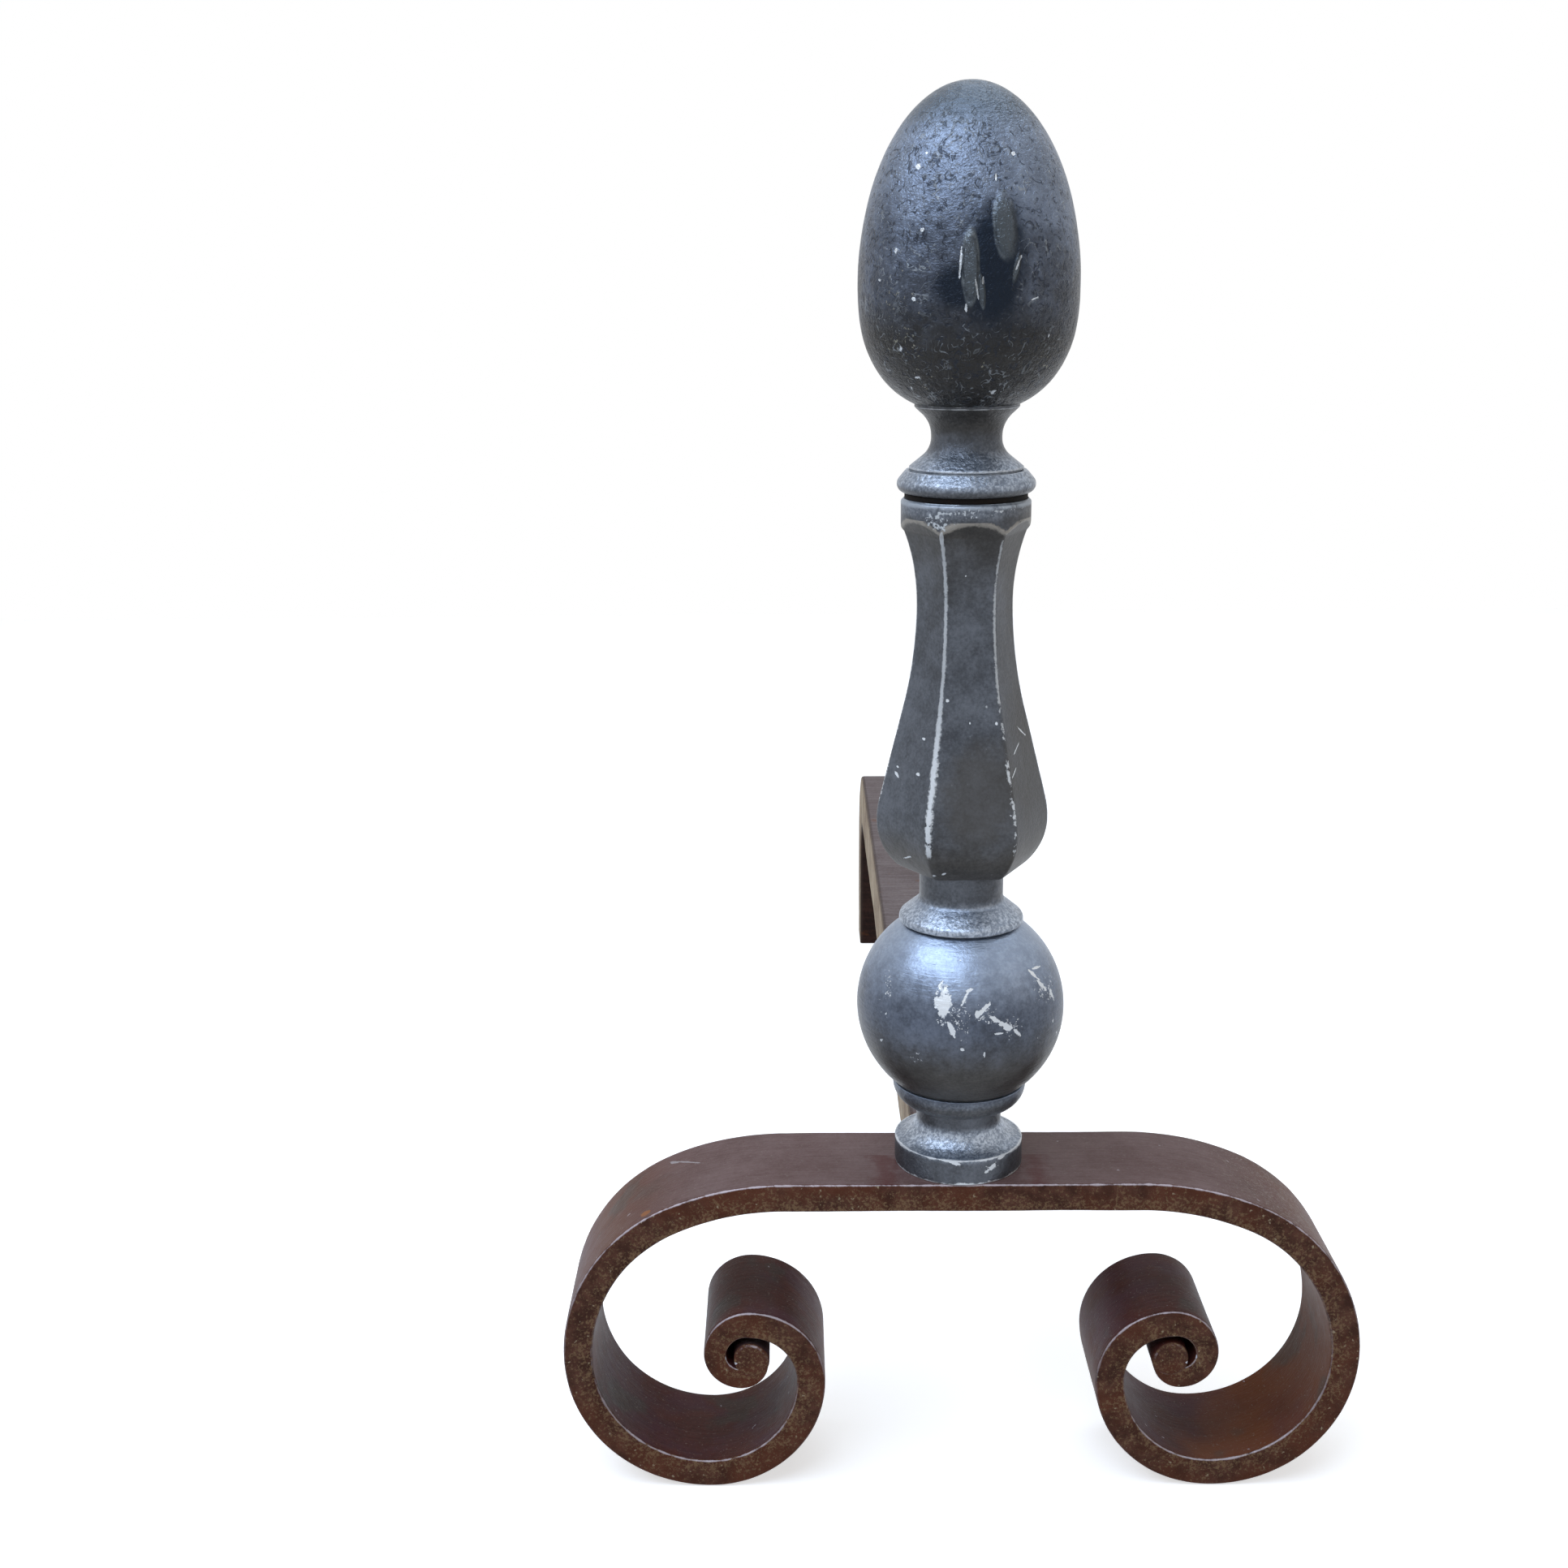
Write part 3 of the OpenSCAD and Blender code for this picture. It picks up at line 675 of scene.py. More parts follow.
# %% Foot bar iron
def red_oxide():
    material, bench, where, (_, ny, nz) = new_finish("foot_iron")
    x, y, z = split(where)
    behind = y - STEM_Y * MM
    across, deep, _ = split(stored(bench, "section_point", "Vector"))
    narrow = most(step(abs(across), 19.75 * MM, 20.25 * MM), step(abs(ny), 0.8, 0.95))
    inner = step(deep, -8.6 * MM, -9.2 * MM)
    cloud = noise(where, 0.024, 3, 0.55, 31)
    middle = noise(where, 0.0052, 4, 0.65, 32)
    fine = noise(where, 0.0012, 3, 0.7, 33)
    lengthwise = bench.shade("CombineXYZ", {0: stored(bench, "along"), 1: across * 16, 2: deep * 16})
    brushed = noise(lengthwise, 0.014, 3, 0.65, 34)
    tone = step(cloud * 0.35 + middle * 0.25 + fine * 0.2 + brushed * 0.2, 0.36, 0.66)
    # Wide faces: dark red-brown, violet and green in patches; the lighter mauve top is partly a painted sheen
    violet = step(noise(where, 0.019, 3, 0.55, 37), 0.46, 0.62)
    top = blend((0.100, 0.053, 0.047), (0.178, 0.114, 0.105), tone)
    on_top = step(z, 0.088, 0.108) * step(nz, 0.55, 0.98)
    shoulder = step(z, 0.06, 0.09) * (1 - on_top) * (1 - inner) * step(nz, 0.1, 0.5)
    orange = step(noise(where, 0.03, 2, 0.5, 35) + step(x, 0.06, 0.105) * 0.22, 0.5, 0.78) * inner
    green = step(noise(where, 0.017, 2, 0.5, 38), 0.56, 0.68)
    dust = noise(where, 0.0009, 3, 0.8, 39) + step(x, 0.07, 0.105) * (1 - inner) * 0.09
    wide = layers(
        blend((0.04, 0.008, 0.005), (0.092, 0.026, 0.019), tone), ((0.066, 0.024, 0.034), violet * 0.6),
        (top, on_top), ((0.125, 0.052, 0.032), shoulder * 0.75), ((0.15, 0.044, 0.012), orange * 0.75),
        ((0.046, 0.043, 0.034), green * (1 - on_top) * 0.5),
        ((0.24, 0.185, 0.155), step(dust, 0.6, 0.68) * 0.55))
    # Cut edges: brown, with tan and ochre grit that lies thickest towards the inside of the bend
    grit = noise(where, 0.001, 3, 0.85, 40) * 0.8 + middle * 0.2 + step(deep, 3 * MM, -9.5 * MM) * 0.09
    grit = step(grit, 0.575, 0.625)
    cut = layers(
        blend((0.048, 0.018, 0.011), (0.108, 0.044, 0.028), step(middle, 0.35, 0.65)),
        ((0.12, 0.036, 0.017), step(cloud, 0.44, 0.62) * 0.6), ((0.24, 0.15, 0.078), grit * 0.62),
        ((0.36, 0.28, 0.18), specks(where, 0.0021, 0.22, 0.16, 5) * 0.8))
    # Red bleeding out beside the foot of the stem, a scratch and a spot of rust
    beside = abs(abs(x) - 0.025)
    bleeding = step(beside + (middle - 0.5) * 0.012, 0.0065, 0.0) * step(nz, 0.7, 0.95)
    bleeding = bleeding * (y < (STEM_Y + 2) * MM)
    upper = step(nz, 0.5, 0.8) * (z > 0.06)
    scratch = chips(where, x, behind, [(-93, 11, 7.4, 0.35, -41), (-96, 13, 2, 0.6, -41)], 1.3, 71) * upper
    rust = chips(where, x, behind, [(-104.4, -16.6, 2, 1.6, -40)], 0.8, 72) * upper
    # Worn edges, brightest where they look upwards: real wear, with a painted highlight on the upper edges
    gap = stored(bench, "edge_gap") + (noise(where, 0.005, 4, 0.75, 36) - 0.45) * 1.5 * MM
    worn = step(gap, 0.5 * MM, 0.15 * MM) * (0.12 + step(nz, -0.2, 0.7) * 0.78)
    pink = specks(where, 0.0058, 0.11, 0.16, 9) * step(nz, 0.2, 0.7) * 0.55
    glint = chips(where, abs(x), z, [(75.8, 45.8, 1.1, 0.45, -15), (78.2, 47.9, 0.4, 0.7, 0)], 0.4, 73)
    colour = layers(
        blend(wide, cut, narrow), ((0.075, 0.008, 0.008), bleeding * 0.6), ((0.36, 0.31, 0.3), scratch * 0.8),
        ((0.3, 0.1, 0.02), rust * 0.7), ((0.5, 0.43, 0.45), most(worn, pink)),
        ((0.62, 0.6, 0.62), glint * narrow * (behind < 0.0)))
    height = (fine - 0.5) * 0.00007 + (middle - 0.5) * 0.00016 + (brushed - 0.5) * 0.00012
    height = height + narrow * ((fine - 0.5) * 0.00016 + grit * 0.00007)
    height = height + green * (1 - narrow) * (middle - 0.5) * 0.00018
    dress(colour, 0.46 + (middle - 0.5) * 0.24 + narrow * 0.14 - worn * 0.08, worn * 0.35, height, 0.08)
    return material


foot_iron = red_oxide()


# %% Log bar iron
def mauve_oxide():
    material, bench, where, (nx, ny, nz) = new_finish("log_iron")
    cloud = noise(where, 0.03, 3, 0.55, 41)
    middle = noise(where, 0.005, 4, 0.65, 42)
    fine = noise(where, 0.0012, 3, 0.7, 43)
    crosswise = noise(where, 0.01, 3, 0.6, 44, stretch=(0.35, 6.0, 6.0))
    tone = step(cloud * 0.3 + crosswise * 0.4 + fine * 0.3, 0.36, 0.66)
    top = blend((0.100, 0.072, 0.068), (0.200, 0.160, 0.152), tone)
    side_tone = step(cloud * 0.5 + middle * 0.3 + fine * 0.2, 0.38, 0.62)
    side = blend((0.175, 0.11, 0.062), (0.455, 0.355, 0.24), side_tone)
    # Painted shade: faces that look forwards or downwards are near-black
    dark = blend((0.01, 0.005, 0.004), (0.042, 0.018, 0.013), tone)
    gap = stored(bench, "edge_gap") + (middle - 0.5) * 0.7 * MM
    rust = step(noise(where, 0.012, 3, 0.6, 45), 0.6, 0.72)
    colour = layers(
        top, (side, step(abs(nx), 0.55, 0.85)), (dark, step(-ny, 0.45, 0.8)),
        (dark, step(-nz, 0.45, 0.8) * 0.75), ((0.045, 0.028, 0.022), step(gap, 1.5 * MM, 0.8 * MM) * 0.6),
        ((0.15, 0.05, 0.016), rust * 0.45))
    height = (fine - 0.5) * 0.0001 + (middle - 0.5) * 0.00016 + (crosswise - 0.5) * 0.00014
    dress(colour, 0.62 + (middle - 0.5) * 0.2, 0.0, height, 0.1)
    return material


log_iron = mauve_oxide()


# %% Washer and rod
def plain_iron(name, dark, light, rough, seed):
    material, _, where, _ = new_finish(name)
    cloud = noise(where, 0.006, 3, 0.6, seed)
    fine = noise(where, 0.001, 2, 0.6, seed + 1)
    height = (fine - 0.5) * 0.00008 + (cloud - 0.5) * 0.0001
    colour = blend(dark, light, step(cloud * 0.6 + fine * 0.4, 0.35, 0.65))
    dress(colour, rough + (cloud - 0.5) * 0.2, 0.0, height, 0.15)
    return material


# The washer's near-black colour is painted shade for the gap above the collar
washer_iron = plain_iron("washer_iron", (0.002, 0.002, 0.002), (0.012, 0.008, 0.006), 0.8, 51)
rod_iron = plain_iron("rod_iron", (0.035, 0.022, 0.017), (0.130, 0.085, 0.060), 0.55, 53)
print("finishes:", sorted(m.name for m in bpy.data.materials if m.name.endswith(("paint", "iron"))))

# %% [markdown]
# ## Pedestal, ball and spool
#
# The foot of the stem is a round pedestal with a sharp worn rim and a hollow flare. On it
# sits the ball, cast in one with a shallow cup, and on the ball a spool whose skirt laps
# over it. Each could be modelled from a primitive and sculpted. A drawn profile is chosen
# instead, because the real pattern was turned on a lathe, so one line holds its whole shape.
# A corner is (distance from the axis, height, radius of its rounding), all in mm, and
# `arc` fills in the hollows and rounds.

# %% Pedestal
turned_piece(
    "pedestal_casting",
    [(HOLE, 0, 0.2), (21.2, 0, 0.5), (21.2, 8.7, 0.55)] + arc(21.6, 16.3, 7.6, -94, -180)
    + [(14.0, 20.8, 0.25), (HOLE, 20.8, 0.2)],
    pedestal_paint, "stem_paint", "pedestal", spacing=0.45, dent=0.1, seed=2.0)

# %% Ball and its cup
turned_piece(
    "ball_casting",
    [(HOLE, 0, 0.2), (14.3, 0, 0.0)] + arc(14.3, 7.6, 7.6, -85, 0) + [(21.9, 8.3, 0.3), (21.2, 8.5, 0.1)]
    + arc(0, 35, 33.9, -51.4, 55.9, 1.2) + [(18.96, 63.1, 0.4), (HOLE, 63.1, 0.2)],
    ball_paint, "stem_paint", "ball", segments=240, dent_size=22, seed=3.0)

# %% Neck spool
turned_piece(
    "spool_casting",
    [(HOLE, 0, 0.2), (18.2, 0, 0.1), (18.2, 0.7, 0.1), (20.2, 0.7, 0.3)] + arc(17.8, 1.5, 2.4, 5, 50)
    + arc(16.6, 9.5, 3.0, 230, 180) + [(13.6, 18.8, 0.2), (HOLE, 18.8, 0.2)],
    spool_paint, "stem_paint", "neck_spool", spacing=0.4, dent=0.1, seed=4.0)

# %% [markdown]
# ## The six-sided baluster
#
# The vase above the spool is six-sided, and its flats end in shallow arches under a round
# collar. It could be lofted between hexagons or cut with a boolean. Here it follows a rule:
# turn the outline of its corners round, then press six flats into it. Where a flat stands
# out further than the collar it is cut off by the collar's round, and that line is the
# arch, so the arches need no drawing at all.

# %% Baluster outline
# Radii of the heel, of the bulb below and above its widest place, and of the hollow over it
HEEL_R, LOW_R, HIGH_R, HOLLOW_R = 4, 20, 30, 139
BULB_R, WAIST_R, WAIST_Z, FLARE_R = 27.9, 15.4, 86.7, 66.0
ARCH_Z, ARCH_H, COLLAR_R, BALUSTER_H = 109.4, 4.6, 20.3, 119.7
bulb_z = HEEL_R + (LOW_R - HEEL_R) * sind(48)
heel_x = BULB_R - LOW_R + (LOW_R - HEEL_R) * cosd(48)
flare_angle = math.degrees(math.asin((ARCH_Z - WAIST_Z) / FLARE_R))
arch_foot = (WAIST_R + FLARE_R * (1 - cosd(flare_angle))) * cosd(30)
slope_run = (COLLAR_R - arch_foot) / cosd(30)
corner_line = (
    [(HOLE, 0, 0.2)] + arc(heel_x, HEEL_R, HEEL_R, -90, -50, 6)
    + arc(BULB_R - LOW_R, bulb_z, LOW_R, -48, 0, 2) + arc(BULB_R - HIGH_R, bulb_z, HIGH_R, 2, 15, 2)
    + arc(WAIST_R + HOLLOW_R, WAIST_Z, HOLLOW_R, 195, 180.4, 0.4)
    + arc(WAIST_R + FLARE_R, WAIST_Z, FLARE_R, 180, 180 - flare_angle, 1)
    + [(arch_foot / cosd(30) + slope_run * k / 12, ARCH_Z + ARCH_H * k / 12, 0.0) for k in range(1, 13)]
    + [(COLLAR_R + 3.2, 114.2, 0.0), (COLLAR_R + 3.2, 118.3, 0.0), (COLLAR_R + 2.9, 119.2, 0.3),
       (COLLAR_R + 2.0, BALUSTER_H, 0.0), (HOLE, BALUSTER_H, 0.2)])
print("baluster outline:", len(corner_line), "corners; arches from", ARCH_Z, "to", ARCH_Z + ARCH_H)

# %% Pressing group
PRESS_INPUTS = {"Segments": "Int", "Corner radius": "Float", "Turn": "Float", "Collar radius": "Float"}
press, bench, given = new_group("lathe_then_press_flats", PRESS_INPUTS)
corner_r, collar_r = given["Corner radius"], given["Collar radius"]
x, y, z = split(bench.geo("InputPosition"))
radius = bench.math("SQRT", x * x + y * y)
angle = bench.math("ARCTAN2", y, x) - given["Turn"]
# Angle from the middle of the nearest flat, from 0 to 30 degrees
half_flat = math.pi / 6
from_flat = abs(bench.math("WRAP", angle, half_flat, -half_flat))
apothem = radius * math.cos(half_flat)
flat_radius = apothem / bench.math("COSINE", from_flat)
# The corner is a small round of its own, where the ray leaves the flat
round_middle = (apothem - corner_r) / math.cos(half_flat)
from_corner = half_flat - from_flat
side = round_middle * bench.math("SINE", from_corner)
round_radius = round_middle * bench.math("COSINE", from_corner)
round_radius = round_radius + bench.math("SQRT", most(corner_r * corner_r - side * side, 0.0))
meets = bench.math("ARCTANGENT", (1 - corner_r / apothem) * math.tan(half_flat))
pressed = bench.geo("Switch", {"Switch": from_flat > meets, "False": flat_radius, "True": round_radius},
                     input_type="FLOAT")
# Nothing stands out past the collar, which draws in a little at its top, and nothing is pressed at the hole
draw_in = step(z, (BALUSTER_H - 0.9) * MM, BALUSTER_H * MM) * 0.0008
below_arches = step(z, (ARCH_Z + 0.5) * MM, (ARCH_Z - 3.0) * MM) * 0.02
kept = bench.math("SMOOTH_MIN", pressed, collar_r - draw_in + below_arches, 0.0006)
target = bench.geo("Switch", {"Switch": radius > (HOLE + 1.0) * MM, "False": radius, "True": kept},
                    input_type="FLOAT")
scale = target / most(radius, 0.001)
place = bench.shade("CombineXYZ", {0: x * scale, 1: y * scale, 2: z})
# How near each point is to one of the six edges, below the arches, and to an arch
rib_gap = radius * from_corner + step(z, (ARCH_Z - 1.0) * MM, (ARCH_Z + 2.0) * MM) * 0.05
near_arch = step(z, (ARCH_Z - 1.5) * MM, ARCH_Z * MM) * step(z, (ARCH_Z + 5.6) * MM, (ARCH_Z + 5.0) * MM)
marked = lathe_mesh(bench, given)
for name, value in (("rib_gap", rib_gap), ("arch_gap", abs(pressed - collar_r) + (1 - near_arch) * 0.05)):
    marked = bench.geo("StoreNamedAttribute", {"Geometry": marked, "Name": name, "Value": value},
                        data_type="FLOAT", domain="POINT")
finish_group(bench, bench.geo("SetPosition", {"Geometry": marked, "Position": place}), given)
print("press inputs:", [i.name for i in press.interface.items_tree])

# %% Baluster
turned_piece(
    "baluster_casting", corner_line, baluster_paint, "stem_paint", "baluster", group=press, spacing=0.75,
    segments=216, dent_size=20, seed=5.0,
    **{"Corner radius": 1.1 * MM, "Turn": math.radians(32.5), "Collar radius": COLLAR_R * MM})

# %% [markdown]
# ## Washer, finial cup, egg and rod
#
# A thin washer, near-black as painted shade, leaves the black line above the collar. The cup
# on it has a torus, a groove, a small lip and a hollow neck, and carries the egg. The egg's
# lower half is a superellipse, fuller than an ellipse, and its upper half is a long ellipse:
# two formulas give a smoother shape than points set by eye. The rod that clamps the stack is hidden.
# It is turned as well, with the low peened head under the log bar's tongue.

# %% Washer and cup
turned_piece(
    "washer_disc", [(HOLE, 0, 0.2), (19.2, 0, 0.3), (19.2, 1.7, 0.3), (HOLE, 1.7, 0.2)],
    washer_iron, "washer_iron", "spacer_washer", spacing=0.8, segments=128, dent=0.05, seed=6.0)
turned_piece(
    "finial_cup_casting",
    [(HOLE, 0, 0.2)] + arc(18.9, 2.7, 2.7, -90, 40, 6)
    + [(18.82, 7.0, 0.3), (17.3, 7.0, 0.15), (17.8, 7.5, 0.2), (17.8, 8.0, 0.35)]
    + arc(18.0, 16.9, 7.0, 232, 180, 5) + arc(20.4, 17.5, 9.4, 180, 128, 4)
    + [(16.3, 26.5, 0.6), (16.3, 27.5, 0.3), (HOLE, 27.5, 0.2)],
    cup_paint, "stem_paint", "finial_cup", spacing=0.4, dent=0.14, dent_size=9, seed=7.0)

# %% Egg
EGG_R, EGG_BELLY_Z, EGG_H, EGG_FULLNESS = 33.8, 35.3, 95.6, 2.4


def egg_low(depth):
    """Radius at a depth below the belly."""
    return EGG_R * (1 - (depth / 38.4) ** EGG_FULLNESS) ** (1 / EGG_FULLNESS)


egg_line = (
    [(0, 27, 0.0), (HOLE, 27, 0.3), (HOLE, 0, 0.2), (egg_low(EGG_BELLY_Z), 0, 0.3)]
    + [(egg_low(EGG_BELLY_Z - EGG_BELLY_Z * k / 44), EGG_BELLY_Z * k / 44, 0.0) for k in range(1, 44)]
    + [(EGG_R * cosd(a), EGG_BELLY_Z + (EGG_H - EGG_BELLY_Z) * sind(a), 0.0) for a in range(0, 90, 2)]
    + [(0, EGG_H, 0.0)])
turned_piece(
    "finial_egg_casting", egg_line, egg_paint, "stem_paint", "finial_egg", spacing=0.8, closed=False,
    segments=240, dent=0.14, dent_size=16, grain=0.05, grain_size=3.0, seed=8.0)

# %% Tie rod
ROD_R, ROD_LENGTH = 4.75, 290.3
turned_piece(
    "tie_rod_peened",
    [(0, -2.4, 0.0)] + arc(0, 12.13, 14.53, -88, -57, 3)
    + [(8.0, 0, 0.4), (ROD_R, 0, 0.2), (ROD_R, ROD_LENGTH - 0.7, 0.5), (ROD_R, ROD_LENGTH, 0.4),
       (0, ROD_LENGTH, 0.0)],
    rod_iron, "rod_iron", "tie_rod", spacing=2.0, closed=False, segments=48, dent=0.08, dent_size=5, seed=9.0)

# %% [markdown]
# ## Bars that follow a path
#
# A smith bends a straight bar round a horn, so the bar keeps one section along the whole
# scroll. A curve with a bevel would do that, but it can't thin the bar towards its tip as
# the hammer did. The group below sweeps a section along a path with Curve to Mesh, then
# pulls each point towards the bar's outer face by the value `thin` of the path. Pieces
# forged solid at an end are joined in through the input `Forged on`, so that they get the
# same dents and the same material.

# %% Sweep group
SWEEP_INPUTS = {"Section": "Object", "Width axis": "Vector", "Forged on": "Object"}
sweep, bench, given = new_group("sweep_bar", SWEEP_INPUTS)
axis = given["Width axis"]


def curve_that_knows(mesh, name):
    """A drawn line as a curve that carries its own place as a named vector."""
    curve = bench.geo("MeshToCurve", {"Mesh": mesh})
    return bench.geo("StoreNamedAttribute",
                      {"Geometry": curve, "Name": name, "Value": bench.geo("InputPosition")},
                      data_type="FLOAT_VECTOR", domain="POINT")


path = curve_that_knows(given["Geometry"], "face_point")
path = bench.geo("SetCurveNormal", {"Curve": path, "Normal": axis}, mode="FREE")
section = bench.geo("ObjectInfo", {"Object": given["Section"]}, out="Geometry")
section = curve_that_knows(section, "section_point")
bar = bench.geo("CurveToMesh", {"Curve": path, "Profile Curve": section, "Fill Caps": True})
face_point = bench.geo("InputNamedAttribute", {"Name": "face_point"}, data_type="FLOAT_VECTOR")
thin = bench.geo("InputNamedAttribute", {"Name": "thin"}, data_type="FLOAT")
from_face = bench.vector("SUBTRACT", bench.geo("InputPosition"), face_point)
sideways = bench.shade("VectorMath", {0: from_face, 1: axis}, out="Value", operation="DOT_PRODUCT")
deep = bench.vector("SUBTRACT", from_face, bench.scaled(axis, sideways))
bar = bench.geo("SetPosition", {"Geometry": bar, "Offset": bench.scaled(deep, thin - 1)})
bar = bench.geo("RemoveAttribute", {"Geometry": bar, "Name": "face_point"})
together = bench.geo("JoinGeometry", {"Geometry": bar})
forged_on = bench.geo("ObjectInfo", {"Object": given["Forged on"]}, out="Geometry")
bench.join(together.socket.node.inputs[0], forged_on)
finish_group(bench, together, given)


def bar_section(name, width, depth, radius, spacing):
    """The bar's section with its outer face at y = 0."""
    w = width / 2
    corners = [(-w, -depth, radius), (w, -depth, radius), (w, 0, radius), (-w, 0, radius)]
    flat, gaps = soften(corners, spacing, True)
    return drawn_line(name, [(p.x, p.y, 0.0) for p in flat], {"edge_gap": [g * MM for g in gaps]}, True)


def forged_block(name, *shells):
    """Closed shells as one mesh. Each is points in mm, faces, edge gaps and places across the bar."""
    points, faces, gaps, across = [], [], [], []
    for shell_points, shell_faces, shell_gaps, shell_across in shells:
        faces += [[len(points) + i for i in face] for face in shell_faces]
        points += shell_points
        gaps += shell_gaps
        across += shell_across
    block = drawn(name, points, [], faces, {"edge_gap": [g * MM for g in gaps]})
    inside_bar = [c * MM for a in across for c in (a, -5.0, 0.0)]
    block.data.attributes.new("section_point", "FLOAT_VECTOR", "POINT").data.foreach_set("vector", inside_bar)
    return block


def tube_faces(rings, around):
    """Quads between rings of points."""
    return [[i * around + k, i * around + (k + 1) % around, (i + 1) * around + (k + 1) % around,
             (i + 1) * around + k]
            for i in range(rings - 1) for k in range(around)]


def swept_piece(name, points, thin, section, axis, forged_on, material, slot, node, seed,
                dent=0.25, dent_size=30.0):
    """Sweeps the section along the points. thin is the share of the bar's thickness left at each."""
    along = [0.0]
    for a, b in zip(points, points[1:]):
        along.append(along[-1] + math.dist(a, b) * MM)
    line = drawn_line(name + "_line", points, {"thin": thin, "along": along}, False)
    make_piece(line, sweep, (dent, dent_size, 0.05, 3.0), seed, material, name, slot, node,
               **{"Section": section, "Width axis": axis, "Forged on": forged_on})


print("sweep inputs:", [i.name for i in sweep.interface.items_tree])

# %% [markdown]
# ## The foot bar
#
# The foot is one flat bar. From the straight middle it bends down and under in arcs whose
# radius shrinks step by step, which is how a scroll reads to the eye, and it ends in a
# small solid roll. The path could be a spiral formula. A list of arcs is used, because
# each arc could then be measured against the real outline by itself.

# %% Scroll path
STRAIGHT_HALF = 58.5
# Outer radius, angle turned, and the share of the bar's thickness left at the arc's end
SCROLL = [(97, 24, 1), (58.5, 66, 1), (48.465, 90, 1), (39, 90, 1), (25.3, 90, 0.97), (15.3, 90, 0.78),
          (12.6, 90, 0.76), (9, 90, 0.74)]


def outward(heading):
    return Vector((sind(heading), cosd(heading)))


def scroll_path(every=1.5):
    """Points (x, z) and thickness of the right half, from the straight to the rolled tip."""
    at, heading = Vector((STRAIGHT_HALF, BAR_TOP)), 0.0
    points, thin, share = [at.copy()], [1.0], 1.0
    for r, turn, left in SCROLL:
        middle = at - r * outward(heading)
        count = max(3, math.ceil(math.radians(turn) * r / every))
        for i in range(1, count + 1):
            points.append(middle + r * outward(heading + turn * i / count))
            thin.append(share + (left - share) * i / count)
        at, heading, share = points[-1], heading + turn, left
    return points, thin


half, half_thin = scroll_path()
straight = [Vector((-STRAIGHT_HALF + 2 * STRAIGHT_HALF * i / 78, BAR_TOP)) for i in range(1, 78)]
path = [Vector((-p.x, p.y)) for p in reversed(half)] + straight + half
thin = list(reversed(half_thin)) + [1.0] * len(straight) + half_thin
print("scroll path:", len(path), "stations, lowest", round(min(p.y for p in path), 2), "mm")


# %% Rolled tips
def rolled_tip(side, middle=(69.9, 46.9), radius=5.9, width=41.7, around=56, stations=26):
    """The bar's end, hammered into a solid roll that lies in the last turn."""
    end = width / 2
    rounded = [(radius - 1.6, -end), (radius - 0.7, -end), (radius - 0.15, -end + 0.3), (radius, -end + 0.9)]
    length = [(radius, -end + 0.9 + (width - 1.8) * k / stations) for k in range(1, stations)]
    rings = rounded + length + [(r, -y) for r, y in reversed(rounded)]
    points, gaps, across = [], [], []
    for r, y in rings:
        on_face = r <= radius - 1.0 and abs(y) >= end - 1
        for k in range(around):
            turn = 2 * math.pi * k / around
            swell = 0.035 * math.sin(2 * turn + 0.6 + y * 0.02)
            lumpy = r * (1 + swell + 0.02 * math.sin(3 * turn + y * 0.11))
            points.append((side * (middle[0] + lumpy * math.cos(turn)), y,
                           middle[1] + lumpy * math.sin(turn)))
            gaps.append(abs(abs(y) - end) + abs(radius - 0.3 - r))
            across.append(math.copysign(width, y) if on_face else y)
    faces = tube_faces(len(rings), around)
    for ring, y in ((0, -end), (len(rings) - 1, end)):
        faces += [[len(points), ring * around + k, ring * around + (k + 1) % around] for k in range(around)]
        points.append((side * middle[0], y, middle[1]))
        gaps.append(9.0)
        across.append(math.copysign(width, y))
    return points, faces, gaps, across


tips = forged_block("rolled_tips", rolled_tip(1), rolled_tip(-1))
print("rolled tips:", len(tips.data.vertices), "points")

# %% Foot bar
flat_section = bar_section("flat_section", BAR_WIDTH, BAR_THICK, 0.9, 1.5)
swept_piece("foot_bar_iron", [(p.x, 0.0, p.y) for p in path], thin, flat_section, (0, 1, 0), tips,
            foot_iron, "foot_iron", "foot_bar", seed=10.0)

# %% [markdown]
# ## The log bar
#
# The logs lie on a square bar that runs straight back and bends down into the rear leg.
# Its front end is drawn thin into a tongue that lies under the foot bar, where the rod
# holds it. The tongue is hidden from the front, so its outline is a plain side view,
# closed across the bar's width and joined in like the rolled tips.

# %% Log bar
LOG_BAR, RUN_Y, REACH, BEND_R = 28.6, 21.25, 559.9, 60.0


def tongue_plate(half=LOG_BAR / 2, top=BAR_TOP - BAR_THICK, under=95.6, front=-10.0, ramp=12.0):
    """The thin front end of the log bar, which lies under the foot bar."""
    deep = BAR_TOP - LOG_BAR
    side_view = [(front, top), (front, under), (RUN_Y - ramp, under), (RUN_Y, deep), (RUN_Y + 0.4, deep),
                 (RUN_Y + 0.4, top)]
    flat, edge_gaps = soften([(y, z, 0.8) for y, z in side_view], 2.0, True)
    # Stations across the bar, each with how far its outline is drawn in to round the plate's edges
    stations = [(-half, 0.9), (-half + 0.25, 0.25), (-half + 0.9, 0.0)]
    stations += [(-half + 0.9 + (2 * half - 1.8) * k / 14, 0.0) for k in range(1, 14)]
    stations += [(half - 0.9, 0.0), (half - 0.25, 0.25), (half, 0.9)]
    middle = Vector((8.0, 97.0))
    points, gaps, across = [], [], []
    for x, inset in stations:
        for p, g in zip(flat, edge_gaps):
            q = p + (middle - p).normalized() * inset
            points.append((x, q.x, q.y))
            gaps.append(min(g, half - abs(x)))
            across.append(x)
    n, last = len(flat), len(points) - len(flat)
    return points, tube_faces(len(stations), n) + [list(range(n)), [last + k for k in range(n)]], gaps, across


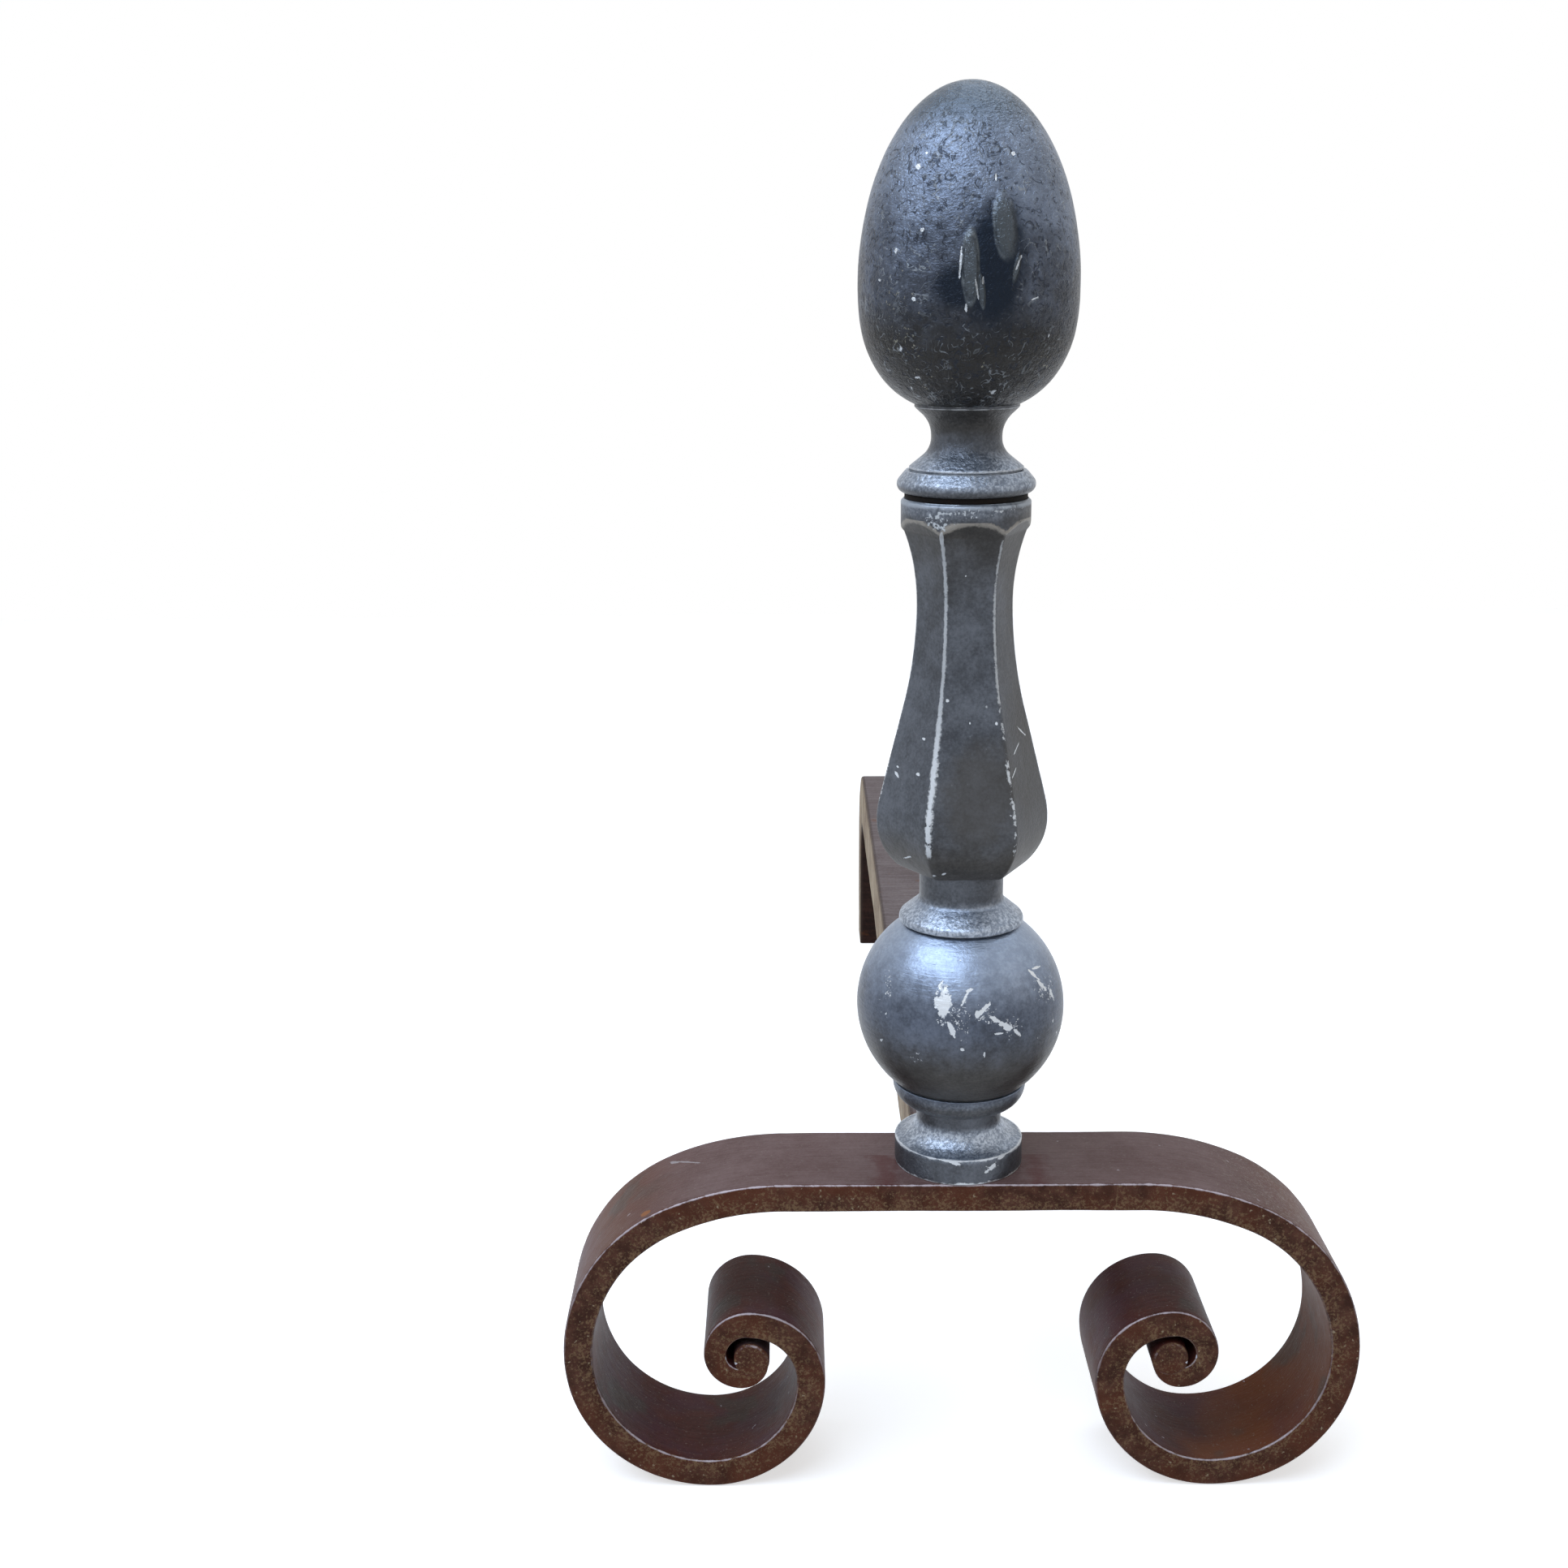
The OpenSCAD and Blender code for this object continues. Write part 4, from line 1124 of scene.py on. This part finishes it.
rail = [(0.0, RUN_Y + (REACH - BEND_R - RUN_Y) * i / 240, BAR_TOP) for i in range(240)]
rail += [(0.0, REACH - BEND_R + x, BAR_TOP - BEND_R + z) for x, z, _ in arc(0, 0, BEND_R, 90, 0, 2)]
rail += [(0.0, REACH, (BAR_TOP - BEND_R) * (1 - i / 24)) for i in range(1, 25)]
square_section = bar_section("square_section", LOG_BAR, LOG_BAR, 1.6, 2.0)
tongue = forged_block("tongue", tongue_plate())
swept_piece("log_bar_iron", rail, [1.0] * len(rail), square_section, (-1, 0, 0), tongue,
            log_iron, "log_iron", "log_bar", dent=0.3, dent_size=40, seed=11.0)

# %% [markdown]
# ## Floor, light and camera
#
# The floor is pale and glows only for the camera, for gloss and for glass, so it is white
# in the picture and still shows the object's soft shadow. Three softboxes stand for an
# overcast sky: a wide cool one from the upper left front, one overhead and behind, and a
# weak warm one from the right. The camera was recovered from the outlines of the object,
# and its shift frames the picture without tilting the uprights.


# %% Floor
def seen_directly(bench):
    """1 for rays from the camera, off gloss and through glass."""
    rays = bench.shade("LightPath", out="Is Camera Ray")
    return most(rays, rays.also("Is Glossy Ray"), rays.also("Is Transmission Ray"))


floor = drawn("floor", [(-1400, -1600, 0), (1400, -1600, 0), (1400, 1400, 0), (-1400, 1400, 0)], [],
              [(0, 1, 2, 3)], {})
floor.location.z = -0.0002
pale = bpy.data.materials.new("pale_floor")
bench = empty_bench(pale)
matte = bench.shade("BsdfDiffuse", {"Color": (0.80, 0.78, 0.76)})
glow = bench.shade("Emission", {"Color": (1, 1, 1), "Strength": seen_directly(bench) * 0.62})
bench.shade("OutputMaterial", {"Surface": bench.shade("AddShader", {0: matte, 1: glow})})
floor.data.materials.append(pale)
print("floor size in m:", [round(v, 2) for v in floor.dimensions])

# %% Sky and softboxes
scene = bpy.context.scene
scene.view_settings.view_transform = "Standard"
scene.world = bpy.data.worlds.new("soft_sky")
bench = empty_bench(scene.world)
sky = bench.shade("Background", {"Color": (0.95, 0.97, 1.0), "Strength": 0.28})
white = bench.shade("Background", {"Color": (1, 1, 1), "Strength": 1.0})
bench.shade("OutputWorld", {"Surface": bench.shade("MixShader", {0: seen_directly(bench), 1: sky, 2: white})})


def softbox(name, place, look_at, width, height, radiance, colour):
    """A rectangular lamp whose face glows with the given brightness."""
    lamp = bpy.data.lights.new(name, "AREA")
    lamp.shape, lamp.size, lamp.size_y = "RECTANGLE", width, height
    lamp.energy = radiance * math.pi * width * height
    lamp.color = colour
    holder = linked(name, lamp)
    holder.location = place
    holder.rotation_euler = (Vector(look_at) - Vector(place)).to_track_quat("-Z", "Y").to_euler()


softbox("key_sky", (-0.75, -0.9, 1.75), (0, -0.25, 0.3), 1.9, 1.25, 4.4, (0.68, 0.81, 1.0))
softbox("top_sky", (0.35, 0.5, 1.9), (0, -0.1, 0.3), 1.2, 1.2, 2.4, (0.72, 0.85, 1.0))
softbox("right_fill", (1.5, -0.7, 0.7), (0, -0.2, 0.25), 0.8, 1.0, 0.6, (1.0, 0.90, 0.78))

# %% Camera
# In pixels of the square picture: the focal length and where the optical axis meets it
FOCAL_PX, MIDDLE_X, MIDDLE_Y, PHOTO = 2508.236, 941.665, 883.875, 1932
CAMERA_PLACE = (-0.05504, -0.89778, 0.40915)
PAN, PITCH_DOWN, ROLL = 0.013544, 0.226694, -0.010319
lens = bpy.data.cameras.new("camera")
lens.sensor_width = 36.0
lens.lens = FOCAL_PX / PHOTO * 36.0
lens.shift_x = (PHOTO / 2 - MIDDLE_X) / PHOTO
lens.shift_y = (MIDDLE_Y - PHOTO / 2) / PHOTO
lens.clip_start = 0.01
camera = linked("camera", lens)
camera.matrix_world = (Matrix.Translation(CAMERA_PLACE) @ Matrix.Rotation(PAN, 4, "Z")
                       @ Matrix.Rotation(math.pi / 2 - PITCH_DOWN, 4, "X") @ Matrix.Rotation(ROLL, 4, "Z"))
scene.camera = camera
print("lens:", round(lens.lens, 2), "mm on", lens.sensor_width, "mm, shift", round(lens.shift_x, 4),
      round(lens.shift_y, 4))

# %% Stencils out
for stencil in (flat_section, square_section, tips, tongue):
    bpy.data.objects.remove(stencil)
